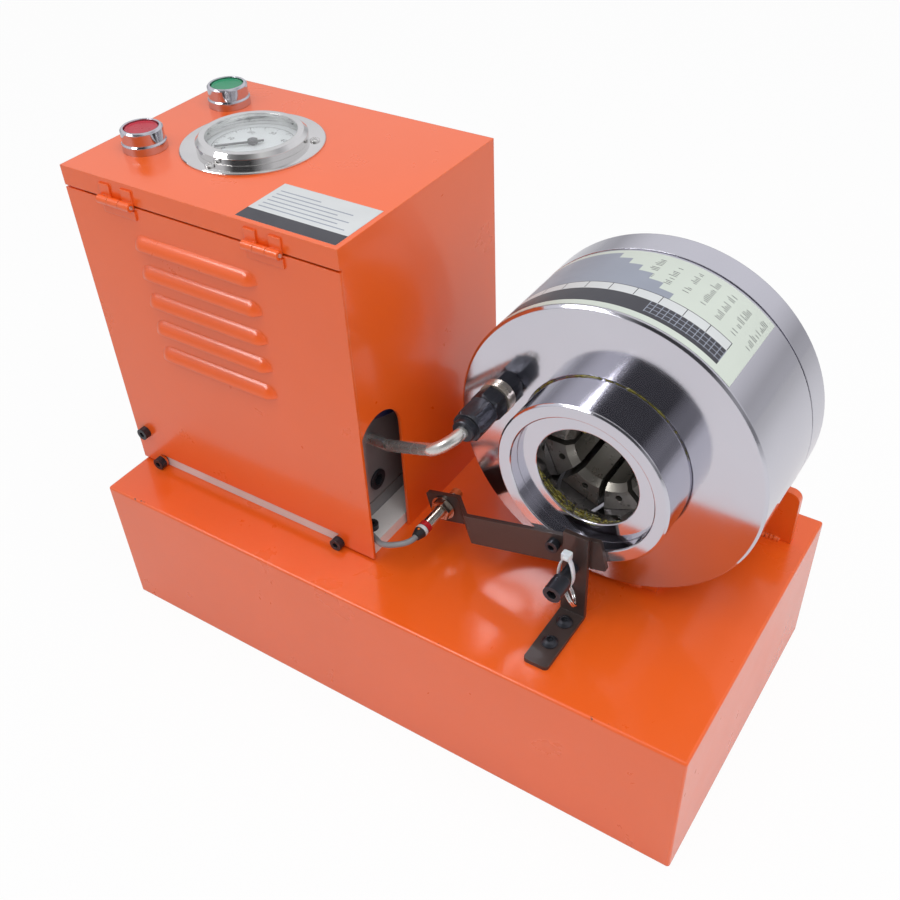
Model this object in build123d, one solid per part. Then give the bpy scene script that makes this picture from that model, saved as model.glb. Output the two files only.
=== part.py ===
"""Hose crimping machine: a cabinet with a hydraulic power unit beside an eight-jaw crimping head, on one base box.

Frame: origin at the centre of the base's underside, +X along the base towards the head, +Y to the back, +Z up.
Sizes are in millimetres.  Heights and places that depend on one another are worked out from the named values below.
"""
from build123d import *
import math
import os

# ---------------------------------------------------------------- base box
BASE_LENGTH, BASE_WIDTH, BASE_HEIGHT = 460.0, 230.0, 110.0
BASE_WALL = 3.0
BASE_LIP = 18.0
BASE_BEND = 2.0

# ---------------------------------------------------------------- cabinet
CABINET_WIDTH, CABINET_DEPTH, CABINET_HEIGHT = 216.0, 160.0, 236.0
CABINET_WALL = 2.0
CABINET_FRONT_Y = -76.0
BAND_HEIGHT = 13.0
ARCH_RADIUS, ARCH_CENTRE_Y, ARCH_CENTRE_HEIGHT = 22.0, -56.5, 90.5
FLANGE_WIDTH = 15.0

# ---------------------------------------------------------------- door, louvres and hinges
DOOR_WALL = 2.0
DOOR_GAP = 1.5
DOOR_FOOT_GAP = 2.0
NOTCH_X0, NOTCH_X1, NOTCH_HEIGHT = -211.0, -43.5, 11.5
LOUVRE_COUNT, LOUVRE_PITCH, LOUVRE_TOP_DROP = 5, 20.4, 41.0
LOUVRE_X0, LOUVRE_X1 = -177.0, -78.0
LOUVRE_RADIUS, LOUVRE_OFFSET, LOUVRE_WALL = 9.5, 4.5, 1.3
HINGE_CENTRES = (-183.0, -67.0)
KNUCKLE_RADIUS, KNUCKLE_LENGTH, KNUCKLE_GAP = 2.8, 9.0, 0.3
HINGE_PIN_RADIUS, HINGE_CLEARANCE = 1.2, 0.05
LEAF_THICKNESS, LEAF_HEIGHT = 1.2, 9.5
DOOR_SCREWS = ((-220.0, 139.5), (-211.0, 114.5), (-43.5, 114.5))
DOOR_SCREW_HEAD, DOOR_SCREW_RADIUS = 5.0, 2.5

# ---------------------------------------------------------------- crimping head, along its own axis (0 = front face)
HEAD_X, HEAD_Z, HEAD_FACE_Y = 120.0, 213.5, -13.0
HEAD_RADIUS, BODY_LENGTH, GROOVE_WIDTH, CAP_END = 100.5, 71.0, 1.5, 95.0
FRONT_WALL, CYLINDER_RADIUS, SPIGOT_START = 20.0, 85.0, 66.0
GROOVE_RADIUS = 98.6
NOSE_RADIUS, NOSE_PROTRUSION, RUNNING_CLEARANCE = 55.75, 30.7, 0.05
PISTON_FLANGE_START, PISTON_FLANGE_END = 22.0, 40.0
STROKE = 24.0
INSERT_RADIUS, INSERT_BORE, INSERT_FRONT, INSERT_BACK = 46.6, 33.4, -22.5, -12.5
WEDGE_ANGLE = 20.0
POCKET_APOTHEM = 34.0
CAP_POCKET_END, CAP_BORE = 90.0, 40.0
JAW_COUNT = 8
JAW_FRONT, JAW_BACK, JAW_INNER_RADIUS = 0.5, 77.0, 22.0
JAW_GAP, WEDGE_CLEARANCE = 4.0, 0.15
JAW_FIRST_ANGLE = 22.5
SEAL_DEPTH, SEAL_WIDTH = 5.0, 6.0
SPRING_CIRCLE, SPRING_COUNT = 71.0, 6
SPRING_OUTER, SPRING_INNER, SPRING_POCKET = 6.0, 4.4, 12.0
CAP_SCREW_CIRCLE, CAP_SCREW_COUNT = 92.5, 10
CAP_SCREW_RADIUS, CAP_SCREW_HEAD_RADIUS, CAP_SCREW_HEAD = 4.0, 6.5, 8.0
PORT_X, PORT_Z, PORT_RADIUS = 46.1, 230.4, 6.5

# ---------------------------------------------------------------- cradle
REAR_PLATE_X0, REAR_PLATE_X1, REAR_PLATE_HEIGHT, REAR_PLATE_WALL = 22.0, 218.0, 43.0, 6.0
SADDLE_WIDTH, SADDLE_LENGTH, SADDLE_HEIGHT = 80.0, 76.0, 12.0

# ---------------------------------------------------------------- power unit
TRAY_X0, TRAY_X1, TRAY_Y0, TRAY_Y1, TRAY_HEIGHT, TRAY_WALL = -219.0, -18.0, -73.0, 78.0, 9.0, 1.5
UNIT_X, UNIT_Y = -76.0, -10.0
BLOCK_SIZE = 80.0
BLOCK_HEIGHT = 79.0
MOTOR_RADIUS, MOTOR_LENGTH, MOTOR_CAP_HEIGHT = 52.0, 92.0, 15.0
PUMP_RADIUS, PUMP_LENGTH = 27.0, 55.0
PUMP_HOLE_CLEARANCE = 3.0
TANK_X0, TANK_X1, TANK_HALF_WIDTH, TANK_DEPTH, TANK_WALL = -206.0, 6.0, 92.0, 94.0, 2.0
TUBE_RADIUS = 4.0
TUBE_EXIT_Y, TUBE_EXIT_Z = -41.0, 184.0

# ---------------------------------------------------------------- gauge
GAUGE_X, GAUGE_Y = -143.0, 5.0
GAUGE_FLANGE_RADIUS, GAUGE_CASE_RADIUS, GAUGE_CASE_DEPTH = 46.0, 33.0, 30.0
GAUGE_SHEET = 1.5
GAUGE_BEZEL_RADIUS, GAUGE_BEZEL_HEIGHT, GLASS_RADIUS, GLASS_THICKNESS = 35.4, 6.5, 30.0, 2.0
GAUGE_SCREW_CIRCLE, GAUGE_SCREW_RADIUS, GAUGE_SCREW_COUNT = 39.4, 1.9, 3
POINTER_LENGTH = 24.0

# ---------------------------------------------------------------- push buttons
BUTTON_X, STOP_Y, START_Y = -200.0, -32.0, 47.0
BUTTON_BEZEL_RADIUS, BUTTON_RADIUS, BUTTON_HEIGHT, BUTTON_TRAVEL = 14.2, 10.9, 14.0, 3.0
BUTTON_THREAD_RADIUS = 11.0
CONTACT_DROP = 24.0

# ---------------------------------------------------------------- stop post, bar and sensor
POST_X0, POST_X1, POST_SHEET, POST_TOP, POST_FOOT_FRONT = 114.0, 131.0, 3.0, 180.0, -98.0
POST_GAP = 0.3
POST_SCREW_YS = (-60.0, -79.0)
BAR_SHEET, BAR_TILT = 3.0, 14.3
BAR_BOLT_RADIUS, BAR_BOLT_ANGLE = 51.4, -105.0
BAR_RIGHT, BAR_LEFT, BAR_TOP, BAR_BOTTOM = 33.0, -67.0, 7.3, -15.2
JOG = 16.5
PLATE_LENGTH = 26.0
SENSOR_U, SENSOR_V = -97.0, -3.0
SENSOR_RADIUS, SENSOR_NUT_RADIUS = 4.0, 8.8
SENSOR_TIP_REACH, SENSOR_BARREL_REACH, SENSOR_TAIL = 17.0, 22.0, 12.0
CABLE_RADIUS = 2.0

TOOL_X, TOOL_Z, TOOL_NECK_RADIUS, TOOL_HEAD_RADIUS = 121.5, 153.5, 4.2, 6.0
TOOL_NECK, TOOL_LENGTH, TOOL_HEX = 14.0, 27.0, 6.0

# ---------------------------------------------------------------- heights that follow from the sizes above
CABINET_X0 = -BASE_LENGTH / 2
CABINET_X1 = CABINET_X0 + CABINET_WIDTH
CABINET_Y1 = CABINET_FRONT_Y + CABINET_DEPTH
CABINET_TOP = BASE_HEIGHT + CABINET_HEIGHT
DOOR_BACK_Y = CABINET_FRONT_Y + DOOR_WALL
DOOR_TOP = CABINET_TOP - BAND_HEIGHT - DOOR_GAP
HINGE_Y = CABINET_FRONT_Y - KNUCKLE_RADIUS - 0.2
HINGE_Z = CABINET_TOP - BAND_HEIGHT
TRAY_TOP = BASE_HEIGHT + TRAY_HEIGHT
BLOCK_TOP = TRAY_TOP + BLOCK_HEIGHT
BLOCK_X0, BLOCK_X1 = UNIT_X - BLOCK_SIZE / 2, UNIT_X + BLOCK_SIZE / 2
BLOCK_Y0, BLOCK_Y1 = UNIT_Y - BLOCK_SIZE / 2, UNIT_Y + BLOCK_SIZE / 2
MOTOR_TOP = BLOCK_TOP + MOTOR_LENGTH
NOSE_FRONT_Y = HEAD_FACE_Y - NOSE_PROTRUSION
BAR_FRONT_Y = NOSE_FRONT_Y - BAR_SHEET
POST_BACK_Y = BAR_FRONT_Y - POST_GAP
POST_FRONT_Y = POST_BACK_Y - POST_SHEET
CAP_BACK_Y = HEAD_FACE_Y + CAP_END
WEDGE_SLOPE = math.tan(math.radians(WEDGE_ANGLE))
GAUGE_TOP = CABINET_TOP + GAUGE_SHEET
JAW_HALF = math.radians(180.0 / JAW_COUNT)
BAR_BOLT_X = HEAD_X + BAR_BOLT_RADIUS * math.cos(math.radians(BAR_BOLT_ANGLE))
BAR_BOLT_Z = HEAD_Z + BAR_BOLT_RADIUS * math.sin(math.radians(BAR_BOLT_ANGLE))
PLATE_FRONT_Y = BAR_FRONT_Y + JOG

# The sensor cable's route, from the sensor's tail through the arch and along the tray to the contactor.
CABLE_ROUTE = ((-6.0, -76.0, 129.0), (-17.0, -69.0, 124.5), (-31.0, -63.0, 123.0), (-50.0, -62.0, 122.5),
               (-84.0, -63.5, 122.0), (-124.0, -62.0, 122.5), (-156.0, -50.0, 124.0), (-176.0, -24.0, 130.0),
               (-185.0, 8.0, 146.0), (-186.0, 34.0, 166.0), (-186.0, 45.0, 186.0))

NODES = {}


def node(name, *solids):
    """Keep the solids of one named sub-part."""
    NODES[name] = list(solids)


def block(x0, x1, y0, y1, z0, z1):
    """Rectangular block between two opposite corners."""
    return Pos((x0 + x1) / 2, (y0 + y1) / 2, (z0 + z1) / 2) * Box(x1 - x0, y1 - y0, z1 - z0)


def rod_x(x0, x1, y, z, radius):
    """Round bar along X."""
    return Pos((x0 + x1) / 2, y, z) * Rot(0, 90, 0) * Cylinder(radius, x1 - x0)


def rod_y(x, y0, y1, z, radius):
    """Round bar along Y."""
    return Pos(x, (y0 + y1) / 2, z) * Rot(90, 0, 0) * Cylinder(radius, y1 - y0)


def rod_z(x, y, z0, z1, radius):
    """Round bar along Z."""
    return Pos(x, y, (z0 + z1) / 2) * Cylinder(radius, z1 - z0)


def prism(width, length, sides=6):
    """Regular prism on the XY plane, from its width across flats."""
    return extrude(RegularPolygon(width / 2, sides, major_radius=False), length)


def turned(section):
    """Solid of revolution about Z from (radius, height) corners."""
    outline = [(radius, 0, height) for radius, height in section]
    return revolve(make_face(Polyline(*outline, close=True)), Axis.Z)


def on_head(part):
    """Carry a part from local axes (Z along the head's axis) to the crimping head."""
    return Pos(HEAD_X, HEAD_FACE_Y, HEAD_Z) * Rot(-90, 0, 0) * part


def pocket(apothem0, height0, apothem1, height1):
    """Eight-sided pyramid between two heights, flats facing the jaws."""
    faces = []
    for apothem, height in ((apothem0, height0), (apothem1, height1)):
        corner = apothem / math.cos(JAW_HALF)
        angles = [math.radians(JAW_FIRST_ANGLE) + JAW_HALF * (2 * k + 1) for k in range(JAW_COUNT)]
        outline = [(corner * math.cos(a), -corner * math.sin(a), height) for a in angles]
        faces.append(make_face(Polyline(*outline, close=True)))
    return loft(faces, ruled=True)


def front_apothem(height):
    """Distance from the axis to a flat of the piston's pocket."""
    return POCKET_APOTHEM + (height - INSERT_BACK) * WEDGE_SLOPE


def cap_apothem(height):
    """Distance from the axis to a flat of the cap's pocket; its mouth is as wide as the piston's."""
    return front_apothem(PISTON_FLANGE_END) - (height - SPIGOT_START) * WEDGE_SLOPE


def around(part, radius, count, first=0.0):
    """Copies of a local part on a circle about the head's axis."""
    step = 360.0 / count
    return [Rot(0, 0, first + step * k) * Pos(radius, 0, 0) * part for k in range(count)]


# ================================================================ base and cabinet
def make_base():
    half_l, half_w = BASE_LENGTH / 2, BASE_WIDTH / 2
    outer = block(-half_l, half_l, -half_w, half_w, 0, BASE_HEIGHT)
    outer = fillet(outer.edges().filter_by(Axis.Z) + outer.faces().sort_by(Axis.Z)[-1].edges(), BASE_BEND)
    inner = block(-half_l + BASE_WALL, half_l - BASE_WALL, -half_w + BASE_WALL, half_w - BASE_WALL,
                  BASE_WALL, BASE_HEIGHT - BASE_WALL)
    mouth = block(-half_l + BASE_LIP, half_l - BASE_LIP, -half_w + BASE_LIP, half_w - BASE_LIP, -1, BASE_WALL + 1)
    pump_hole = rod_z(UNIT_X, UNIT_Y, BASE_HEIGHT - 5, BASE_HEIGHT + 1, PUMP_RADIUS + PUMP_HOLE_CLEARANCE)
    base = outer - inner - mouth - pump_hole
    for y in POST_SCREW_YS:
        base -= rod_z((POST_X0 + POST_X1) / 2, y, BASE_HEIGHT - 5, BASE_HEIGHT + 1, 3.1)
    node("base_box", base)


def make_cabinet():
    outer = block(CABINET_X0, CABINET_X1, CABINET_FRONT_Y, CABINET_Y1, BASE_HEIGHT, CABINET_TOP)
    inner = block(CABINET_X0 + CABINET_WALL, CABINET_X1 - CABINET_WALL, CABINET_FRONT_Y + CABINET_WALL,
                  CABINET_Y1 - CABINET_WALL, BASE_HEIGHT - 1, CABINET_TOP - CABINET_WALL)
    doorway = block(CABINET_X0 - 1, CABINET_X1 + 1, CABINET_FRONT_Y - 1, DOOR_BACK_Y,
                    BASE_HEIGHT - 1, CABINET_TOP - BAND_HEIGHT)
    arch_z = BASE_HEIGHT + ARCH_CENTRE_HEIGHT
    wall_x0, wall_x1 = CABINET_X1 - CABINET_WALL - 1, CABINET_X1 + 1
    arch = rod_x(wall_x0, wall_x1, ARCH_CENTRE_Y, arch_z, ARCH_RADIUS)
    arch += block(wall_x0, wall_x1, CABINET_FRONT_Y - 1, ARCH_CENTRE_Y + ARCH_RADIUS, BASE_HEIGHT - 1, arch_z)
    shell = outer - inner - doorway - arch
    shell += block(CABINET_X0 + CABINET_WALL, CABINET_X0 + FLANGE_WIDTH, DOOR_BACK_Y,
                   DOOR_BACK_Y + CABINET_WALL, TRAY_TOP + 2, CABINET_TOP - CABINET_WALL)
    screw_x, screw_z = DOOR_SCREWS[0]
    shell -= rod_y(screw_x, DOOR_BACK_Y - 1, DOOR_BACK_Y + CABINET_WALL + 1, screw_z, DOOR_SCREW_RADIUS + 0.6)
    shell -= rod_z(GAUGE_X, GAUGE_Y, CABINET_TOP - 5, CABINET_TOP + 1, GAUGE_CASE_RADIUS + 0.3)
    for x, y in gauge_screw_places():
        shell -= rod_z(GAUGE_X + x, GAUGE_Y + y, CABINET_TOP - 5, CABINET_TOP + 1, GAUGE_SCREW_RADIUS + 0.1)
    for y in (STOP_Y, START_Y):
        shell -= rod_z(BUTTON_X, y, CABINET_TOP - 5, CABINET_TOP + 1, BUTTON_THREAD_RADIUS + 0.2)
    shell -= rod_y(GLAND_X, CABINET_Y1 - 5, CABINET_Y1 + 1, GLAND_Z, GLAND_THREAD + 0.1)
    node("cabinet_shell", shell)


def louvre_form(radius, x0, x1, z):
    """Round-ended bar whose upper front quarter is a louvre's hood."""
    y = CABINET_FRONT_Y + LOUVRE_OFFSET
    reach = math.sqrt(LOUVRE_RADIUS ** 2 - LOUVRE_OFFSET ** 2)
    left, right = x0 + reach, x1 - reach
    bar = rod_x(left, right, y, z, radius) + Pos(left, y, z) * Sphere(radius) + Pos(right, y, z) * Sphere(radius)
    keep = block(x0 - 9, x1 + 9, CABINET_FRONT_Y - 9, DOOR_BACK_Y + 1, z, z + 2 * radius)
    return bar & keep


def make_door():
    x0, x1 = CABINET_X0, CABINET_X1
    door = block(x0, x1, CABINET_FRONT_Y, DOOR_BACK_Y, BASE_HEIGHT + DOOR_FOOT_GAP, DOOR_TOP)
    door -= block(NOTCH_X0, NOTCH_X1, CABINET_FRONT_Y - 1, DOOR_BACK_Y + 1, BASE_HEIGHT, BASE_HEIGHT + NOTCH_HEIGHT)
    for x, z in DOOR_SCREWS:
        door += rod_y(x, CABINET_FRONT_Y, DOOR_BACK_Y, z, DOOR_SCREW_HEAD - 0.8)
        door -= rod_y(x, CABINET_FRONT_Y - 1, DOOR_BACK_Y + 1, z, DOOR_SCREW_RADIUS)
    front = block(x0, x1, CABINET_FRONT_Y - 9, CABINET_FRONT_Y + 0.5, BASE_HEIGHT, DOOR_TOP)
    for k in range(LOUVRE_COUNT):
        z = CABINET_TOP - LOUVRE_TOP_DROP - LOUVRE_PITCH * k
        door += louvre_form(LOUVRE_RADIUS, LOUVRE_X0, LOUVRE_X1, z) & front
        door -= louvre_form(LOUVRE_RADIUS - LOUVRE_WALL, LOUVRE_X0, LOUVRE_X1, z)
    node("cabinet_door", door)
    screws = []
    for x, z in DOOR_SCREWS:
        head = rod_y(x, CABINET_FRONT_Y - 5, CABINET_FRONT_Y, z, DOOR_SCREW_HEAD - 0.5)
        shank = rod_y(x, CABINET_FRONT_Y, DOOR_BACK_Y + 6, z, DOOR_SCREW_RADIUS)
        socket = Pos(x, CABINET_FRONT_Y - 2.5, z) * Rot(90, 0, 0) * prism(4.0, 4.0)
        screws.append(head + shank - socket)
    node("door_screws", *screws)


def make_hinges():
    fixed, moving, pins = [], [], []
    bore = HINGE_PIN_RADIUS + HINGE_CLEARANCE
    y0, y1 = CABINET_FRONT_Y - LEAF_THICKNESS, CABINET_FRONT_Y
    for x in HINGE_CENTRES:
        half, ends = KNUCKLE_LENGTH / 2, 1.5 * KNUCKLE_LENGTH
        hole = rod_x(x - ends - 1, x + ends + 1, HINGE_Y, HINGE_Z, bore)
        for a, b in ((x - ends, x - half - KNUCKLE_GAP), (x + half + KNUCKLE_GAP, x + ends)):
            leaf = rod_x(a, b, HINGE_Y, HINGE_Z, KNUCKLE_RADIUS)
            fixed.append(leaf + block(a, b, y0, y1, HINGE_Z + 1, HINGE_Z + LEAF_HEIGHT) - hole)
        knuckle = rod_x(x - half, x + half, HINGE_Y, HINGE_Z, KNUCKLE_RADIUS)
        leaf = block(x - half, x + half, y0, y1, HINGE_Z - LEAF_HEIGHT, HINGE_Z - 1.6)
        leaf += block(x - ends, x + ends, y0, y1, HINGE_Z - LEAF_HEIGHT, HINGE_Z - KNUCKLE_RADIUS - 0.6)
        moving.append(knuckle + leaf - hole)
        pins.append(rod_x(x - ends - 0.8, x + ends + 0.8, HINGE_Y, HINGE_Z, HINGE_PIN_RADIUS))
    node("hinge_fixed_leaves", *fixed)
    node("hinge_door_leaves", *moving)
    node("hinge_pins", *pins)


# ================================================================ power unit
def make_tray():
    tray = block(TRAY_X0, TRAY_X1, TRAY_Y0, TRAY_Y1, BASE_HEIGHT, TRAY_TOP)
    tray -= block(TRAY_X0 + TRAY_WALL, TRAY_X1 - TRAY_WALL, TRAY_Y0 + TRAY_WALL, TRAY_Y1 - TRAY_WALL,
                  BASE_HEIGHT - 1, TRAY_TOP - TRAY_WALL)
    tray -= rod_z(UNIT_X, UNIT_Y, TRAY_TOP - 4, TRAY_TOP + 1, PUMP_RADIUS + PUMP_HOLE_CLEARANCE)
    for x, z in DOOR_SCREWS[1:]:
        tray -= rod_y(x, TRAY_Y0 - 1, TRAY_Y0 + TRAY_WALL + 1, z, DOOR_SCREW_RADIUS + 0.8)
    node("plinth_tray", tray)
    bolts = []
    for x in (TRAY_X0 + 14, TRAY_X1 - 11):
        for y in (TRAY_Y0 + 16, TRAY_Y1 - 16):
            bolts.append(rod_z(x, y, TRAY_TOP, TRAY_TOP + 4, 4.5) - Pos(x, y, TRAY_TOP + 1.5) * prism(4.0, 4.0))
    return bolts


def make_power_unit():
    body = block(BLOCK_X0, BLOCK_X1, BLOCK_Y0, BLOCK_Y1, TRAY_TOP, BLOCK_TOP)
    body = fillet(body.edges().filter_by(Axis.Z), 4)
    body -= block(BLOCK_X0 - 1, BLOCK_X1 + 1, BLOCK_Y0 - 1, BLOCK_Y1 + 1, TRAY_TOP + 11, TRAY_TOP + 12) - block(
        BLOCK_X0 + 1.5, BLOCK_X1 - 1.5, BLOCK_Y0 + 1.5, BLOCK_Y1 - 1.5, TRAY_TOP, TRAY_TOP + 20)
    body -= rod_x(BLOCK_X1 - 16, BLOCK_X1 + 1, TUBE_EXIT_Y, TUBE_EXIT_Z, TUBE_RADIUS + 0.02)
    plug_y, plug_z = TUBE_EXIT_Y + 3, TRAY_TOP + 27
    body -= rod_x(BLOCK_X1 - 12, BLOCK_X1 + 1, plug_y, plug_z, 7.5)
    valve_x, valve_z = UNIT_X - 18, TRAY_TOP + 45
    body -= rod_y(valve_x, BLOCK_Y0 - 1, BLOCK_Y0 + 14, valve_z, 6.0)
    line_z = TRAY_TOP + 50
    body -= rod_x(BLOCK_X0 - 1, BLOCK_X0 + 12, GAUGE_Y, line_z, 3.02)
    node("manifold_block", body)
    plug = rod_x(BLOCK_X1 - 12, BLOCK_X1 + 1.5, plug_y, plug_z, 7.5)
    plug -= Pos(BLOCK_X1 - 6, plug_y, plug_z) * Rot(0, 90, 0) * prism(8.0, 10.0)
    valve = rod_y(valve_x, BLOCK_Y0 - 14, BLOCK_Y0 + 14, valve_z, 6.0)
    valve += Pos(valve_x, BLOCK_Y0, valve_z) * Rot(90, 0, 0) * prism(17.0, 8.0)
    node("block_fittings", plug, valve)
    motor = rod_z(UNIT_X, UNIT_Y, BLOCK_TOP, MOTOR_TOP, MOTOR_RADIUS - 1.5)
    motor += rod_z(UNIT_X, UNIT_Y, BLOCK_TOP + 9, MOTOR_TOP - 9, MOTOR_RADIUS)
    motor += block(UNIT_X - 22, UNIT_X + 22, UNIT_Y + 30, UNIT_Y + MOTOR_RADIUS + 22, BLOCK_TOP + 24, BLOCK_TOP + 62)
    node("motor_body", motor)
    cap = turned([(0, 0), (MOTOR_RADIUS, 0), (MOTOR_RADIUS, MOTOR_CAP_HEIGHT - 5),
                  (MOTOR_RADIUS - 5, MOTOR_CAP_HEIGHT), (0, MOTOR_CAP_HEIGHT)])
    for k in range(12):
        cap -= Rot(0, 0, 30 * k) * block(18, 40, -1.8, 1.8, MOTOR_CAP_HEIGHT - 4, MOTOR_CAP_HEIGHT + 1)
    node("motor_fan_cover", Pos(UNIT_X, UNIT_Y, MOTOR_TOP) * cap)
    pump = rod_z(UNIT_X, UNIT_Y, TRAY_TOP - PUMP_LENGTH, TRAY_TOP, PUMP_RADIUS)
    pump += block(UNIT_X - 24, UNIT_X + 24, UNIT_Y - 20, UNIT_Y + 20, TRAY_TOP - PUMP_LENGTH, TRAY_TOP - 22)
    node("gear_pump", pump)
    strainer_top = TRAY_TOP - PUMP_LENGTH
    strainer = rod_z(UNIT_X, UNIT_Y, strainer_top - 14, strainer_top, 7)
    strainer += rod_z(UNIT_X, UNIT_Y, strainer_top - 38, strainer_top - 14, 17)
    node("suction_strainer", strainer)
    tank_top = BASE_HEIGHT - BASE_WALL
    tank = block(TANK_X0, TANK_X1, -TANK_HALF_WIDTH, TANK_HALF_WIDTH, tank_top - TANK_DEPTH, tank_top)
    tank -= block(TANK_X0 + TANK_WALL, TANK_X1 - TANK_WALL, -TANK_HALF_WIDTH + TANK_WALL,
                  TANK_HALF_WIDTH - TANK_WALL, tank_top - TANK_DEPTH + TANK_WALL, tank_top + 1)
    node("oil_tank", tank)


def make_pipework():
    corner = (PORT_X, NOSE_FRONT_Y - 29.3, PORT_Z)
    route = FilletPolyline((BLOCK_X1 - 14, TUBE_EXIT_Y, TUBE_EXIT_Z), (BLOCK_X1 + 16, TUBE_EXIT_Y, TUBE_EXIT_Z),
                           corner, (PORT_X, HEAD_FACE_Y - 25, PORT_Z), radius=[14.0, 13.0])
    tube = sweep(Plane(route @ 0, z_dir=route % 0) * Circle(TUBE_RADIUS), path=route)
    node("pressure_tube", tube)
    ring_y = HEAD_FACE_Y - 3.5
    washer = rod_y(PORT_X, ring_y, HEAD_FACE_Y, PORT_Z, 11.0) - rod_y(PORT_X, ring_y - 1, HEAD_FACE_Y + 1, PORT_Z, PORT_RADIUS)
    node("seal_washer", washer)
    bore = rod_y(PORT_X, HEAD_FACE_Y - 45, HEAD_FACE_Y + 15, PORT_Z, TUBE_RADIUS + 0.05)
    adapter = Pos(PORT_X, ring_y, PORT_Z) * Rot(90, 0, 0) * prism(19.0, 12.0)
    adapter += rod_y(PORT_X, HEAD_FACE_Y - 27, HEAD_FACE_Y + 12, PORT_Z, PORT_RADIUS)
    node("head_adapter", adapter - bore)
    nut = Pos(PORT_X, ring_y - 12.5, PORT_Z) * Rot(90, 0, 0) * prism(19.0, 19.0)
    nut += rod_y(PORT_X, HEAD_FACE_Y - 40, HEAD_FACE_Y - 34, PORT_Z, 7.5)
    nut -= rod_y(PORT_X, HEAD_FACE_Y - 27.5, HEAD_FACE_Y, PORT_Z, PORT_RADIUS + 0.05)
    node("union_nut", nut - bore)
    gauge_base = CABINET_TOP - GAUGE_CASE_DEPTH
    line_z = TRAY_TOP + 50
    line = FilletPolyline((GAUGE_X, GAUGE_Y, gauge_base - 10), (GAUGE_X, GAUGE_Y, line_z),
                          (BLOCK_X0 + 10, GAUGE_Y, line_z), radius=14.0)
    node("gauge_line", sweep(Plane(line @ 0, z_dir=line % 0) * Circle(3.0), path=line))


# ================================================================ crimping head
def make_cylinder():
    bore = NOSE_RADIUS + RUNNING_CLEARANCE
    seal0, seal1 = 8.0, 8.0 + SEAL_WIDTH
    body = turned([(bore, 1), (bore + 1, 0), (HEAD_RADIUS - 1.5, 0), (HEAD_RADIUS, 1.5), (HEAD_RADIUS, BODY_LENGTH),
                   (CYLINDER_RADIUS, BODY_LENGTH), (CYLINDER_RADIUS, FRONT_WALL), (bore, FRONT_WALL), (bore, seal1),
                   (bore + SEAL_DEPTH, seal1), (bore + SEAL_DEPTH, seal0), (bore, seal0)])
    port_r = math.hypot(PORT_X - HEAD_X, PORT_Z - HEAD_Z)
    port_a = math.degrees(math.atan2(-(PORT_Z - HEAD_Z), PORT_X - HEAD_X))
    body -= Rot(0, 0, port_a) * Pos(port_r, 0, 6) * Cylinder(PORT_RADIUS, 14)
    body -= Rot(0, 0, port_a) * Pos(port_r, 0, 15) * Cylinder(3.0, 14)
    hole = Pos(0, 0, BODY_LENGTH - 9) * Cylinder(CAP_SCREW_RADIUS, 20)
    for cut in around(hole, CAP_SCREW_CIRCLE, CAP_SCREW_COUNT, 90 - 18):
        body -= cut
    node("cylinder_body", on_head(body))
    seal = turned([(bore, seal0 + 0.3), (bore + SEAL_DEPTH - 0.3, seal0 + 0.3),
                   (bore + SEAL_DEPTH - 0.3, seal1 - 0.3), (bore, seal1 - 0.3)])
    node("rod_seal", on_head(seal))
    neck = BODY_LENGTH + GROOVE_WIDTH
    spigot = CYLINDER_RADIUS - 0.1
    cap = turned([(0, SPIGOT_START), (spigot, SPIGOT_START), (spigot, BODY_LENGTH), (GROOVE_RADIUS, BODY_LENGTH),
                  (GROOVE_RADIUS, neck), (HEAD_RADIUS, neck), (HEAD_RADIUS, CAP_END - 2), (HEAD_RADIUS - 2, CAP_END),
                  (0, CAP_END)])
    cap -= pocket(cap_apothem(SPIGOT_START - 1), SPIGOT_START - 1, cap_apothem(CAP_POCKET_END), CAP_POCKET_END)
    cap -= Pos(0, 0, CAP_END) * Cylinder(CAP_BORE, 20)
    spring_hole = Pos(0, 0, SPIGOT_START + SPRING_POCKET / 2) * Cylinder(SPRING_OUTER + 0.4, SPRING_POCKET)
    for cut in around(spring_hole, SPRING_CIRCLE, SPRING_COUNT):
        cap -= cut
    head_seat = CAP_END - CAP_SCREW_HEAD - 0.5
    shank = Pos(0, 0, (BODY_LENGTH + CAP_END) / 2) * Cylinder(CAP_SCREW_RADIUS + 0.3, CAP_END - BODY_LENGTH + 2)
    sink = Pos(0, 0, head_seat + 5) * Cylinder(CAP_SCREW_HEAD_RADIUS + 0.3, 10)
    first = 90 - 18
    for k, (a, b) in enumerate(zip(around(shank, CAP_SCREW_CIRCLE, CAP_SCREW_COUNT, first),
                                   around(sink, CAP_SCREW_CIRCLE, CAP_SCREW_COUNT, first))):
        cap -= a
        if k > 1:
            cap -= b
    node("rear_cap", on_head(cap))
    screw = Pos(0, 0, head_seat + CAP_SCREW_HEAD / 2) * Cylinder(CAP_SCREW_HEAD_RADIUS, CAP_SCREW_HEAD)
    screw += Pos(0, 0, (BODY_LENGTH - 16 + head_seat) / 2) * Cylinder(CAP_SCREW_RADIUS, head_seat - BODY_LENGTH + 16)
    screw -= Pos(0, 0, head_seat + 4) * prism(6.0, 6.0)
    copies = around(screw, CAP_SCREW_CIRCLE, CAP_SCREW_COUNT, first)
    through = Pos(0, 0, REAR_PLATE_WALL + CAP_END - head_seat) * screw
    copies[:2] = around(through, CAP_SCREW_CIRCLE, CAP_SCREW_COUNT, first)[:2]
    node("cap_screws", *[on_head(s) for s in copies])


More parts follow.
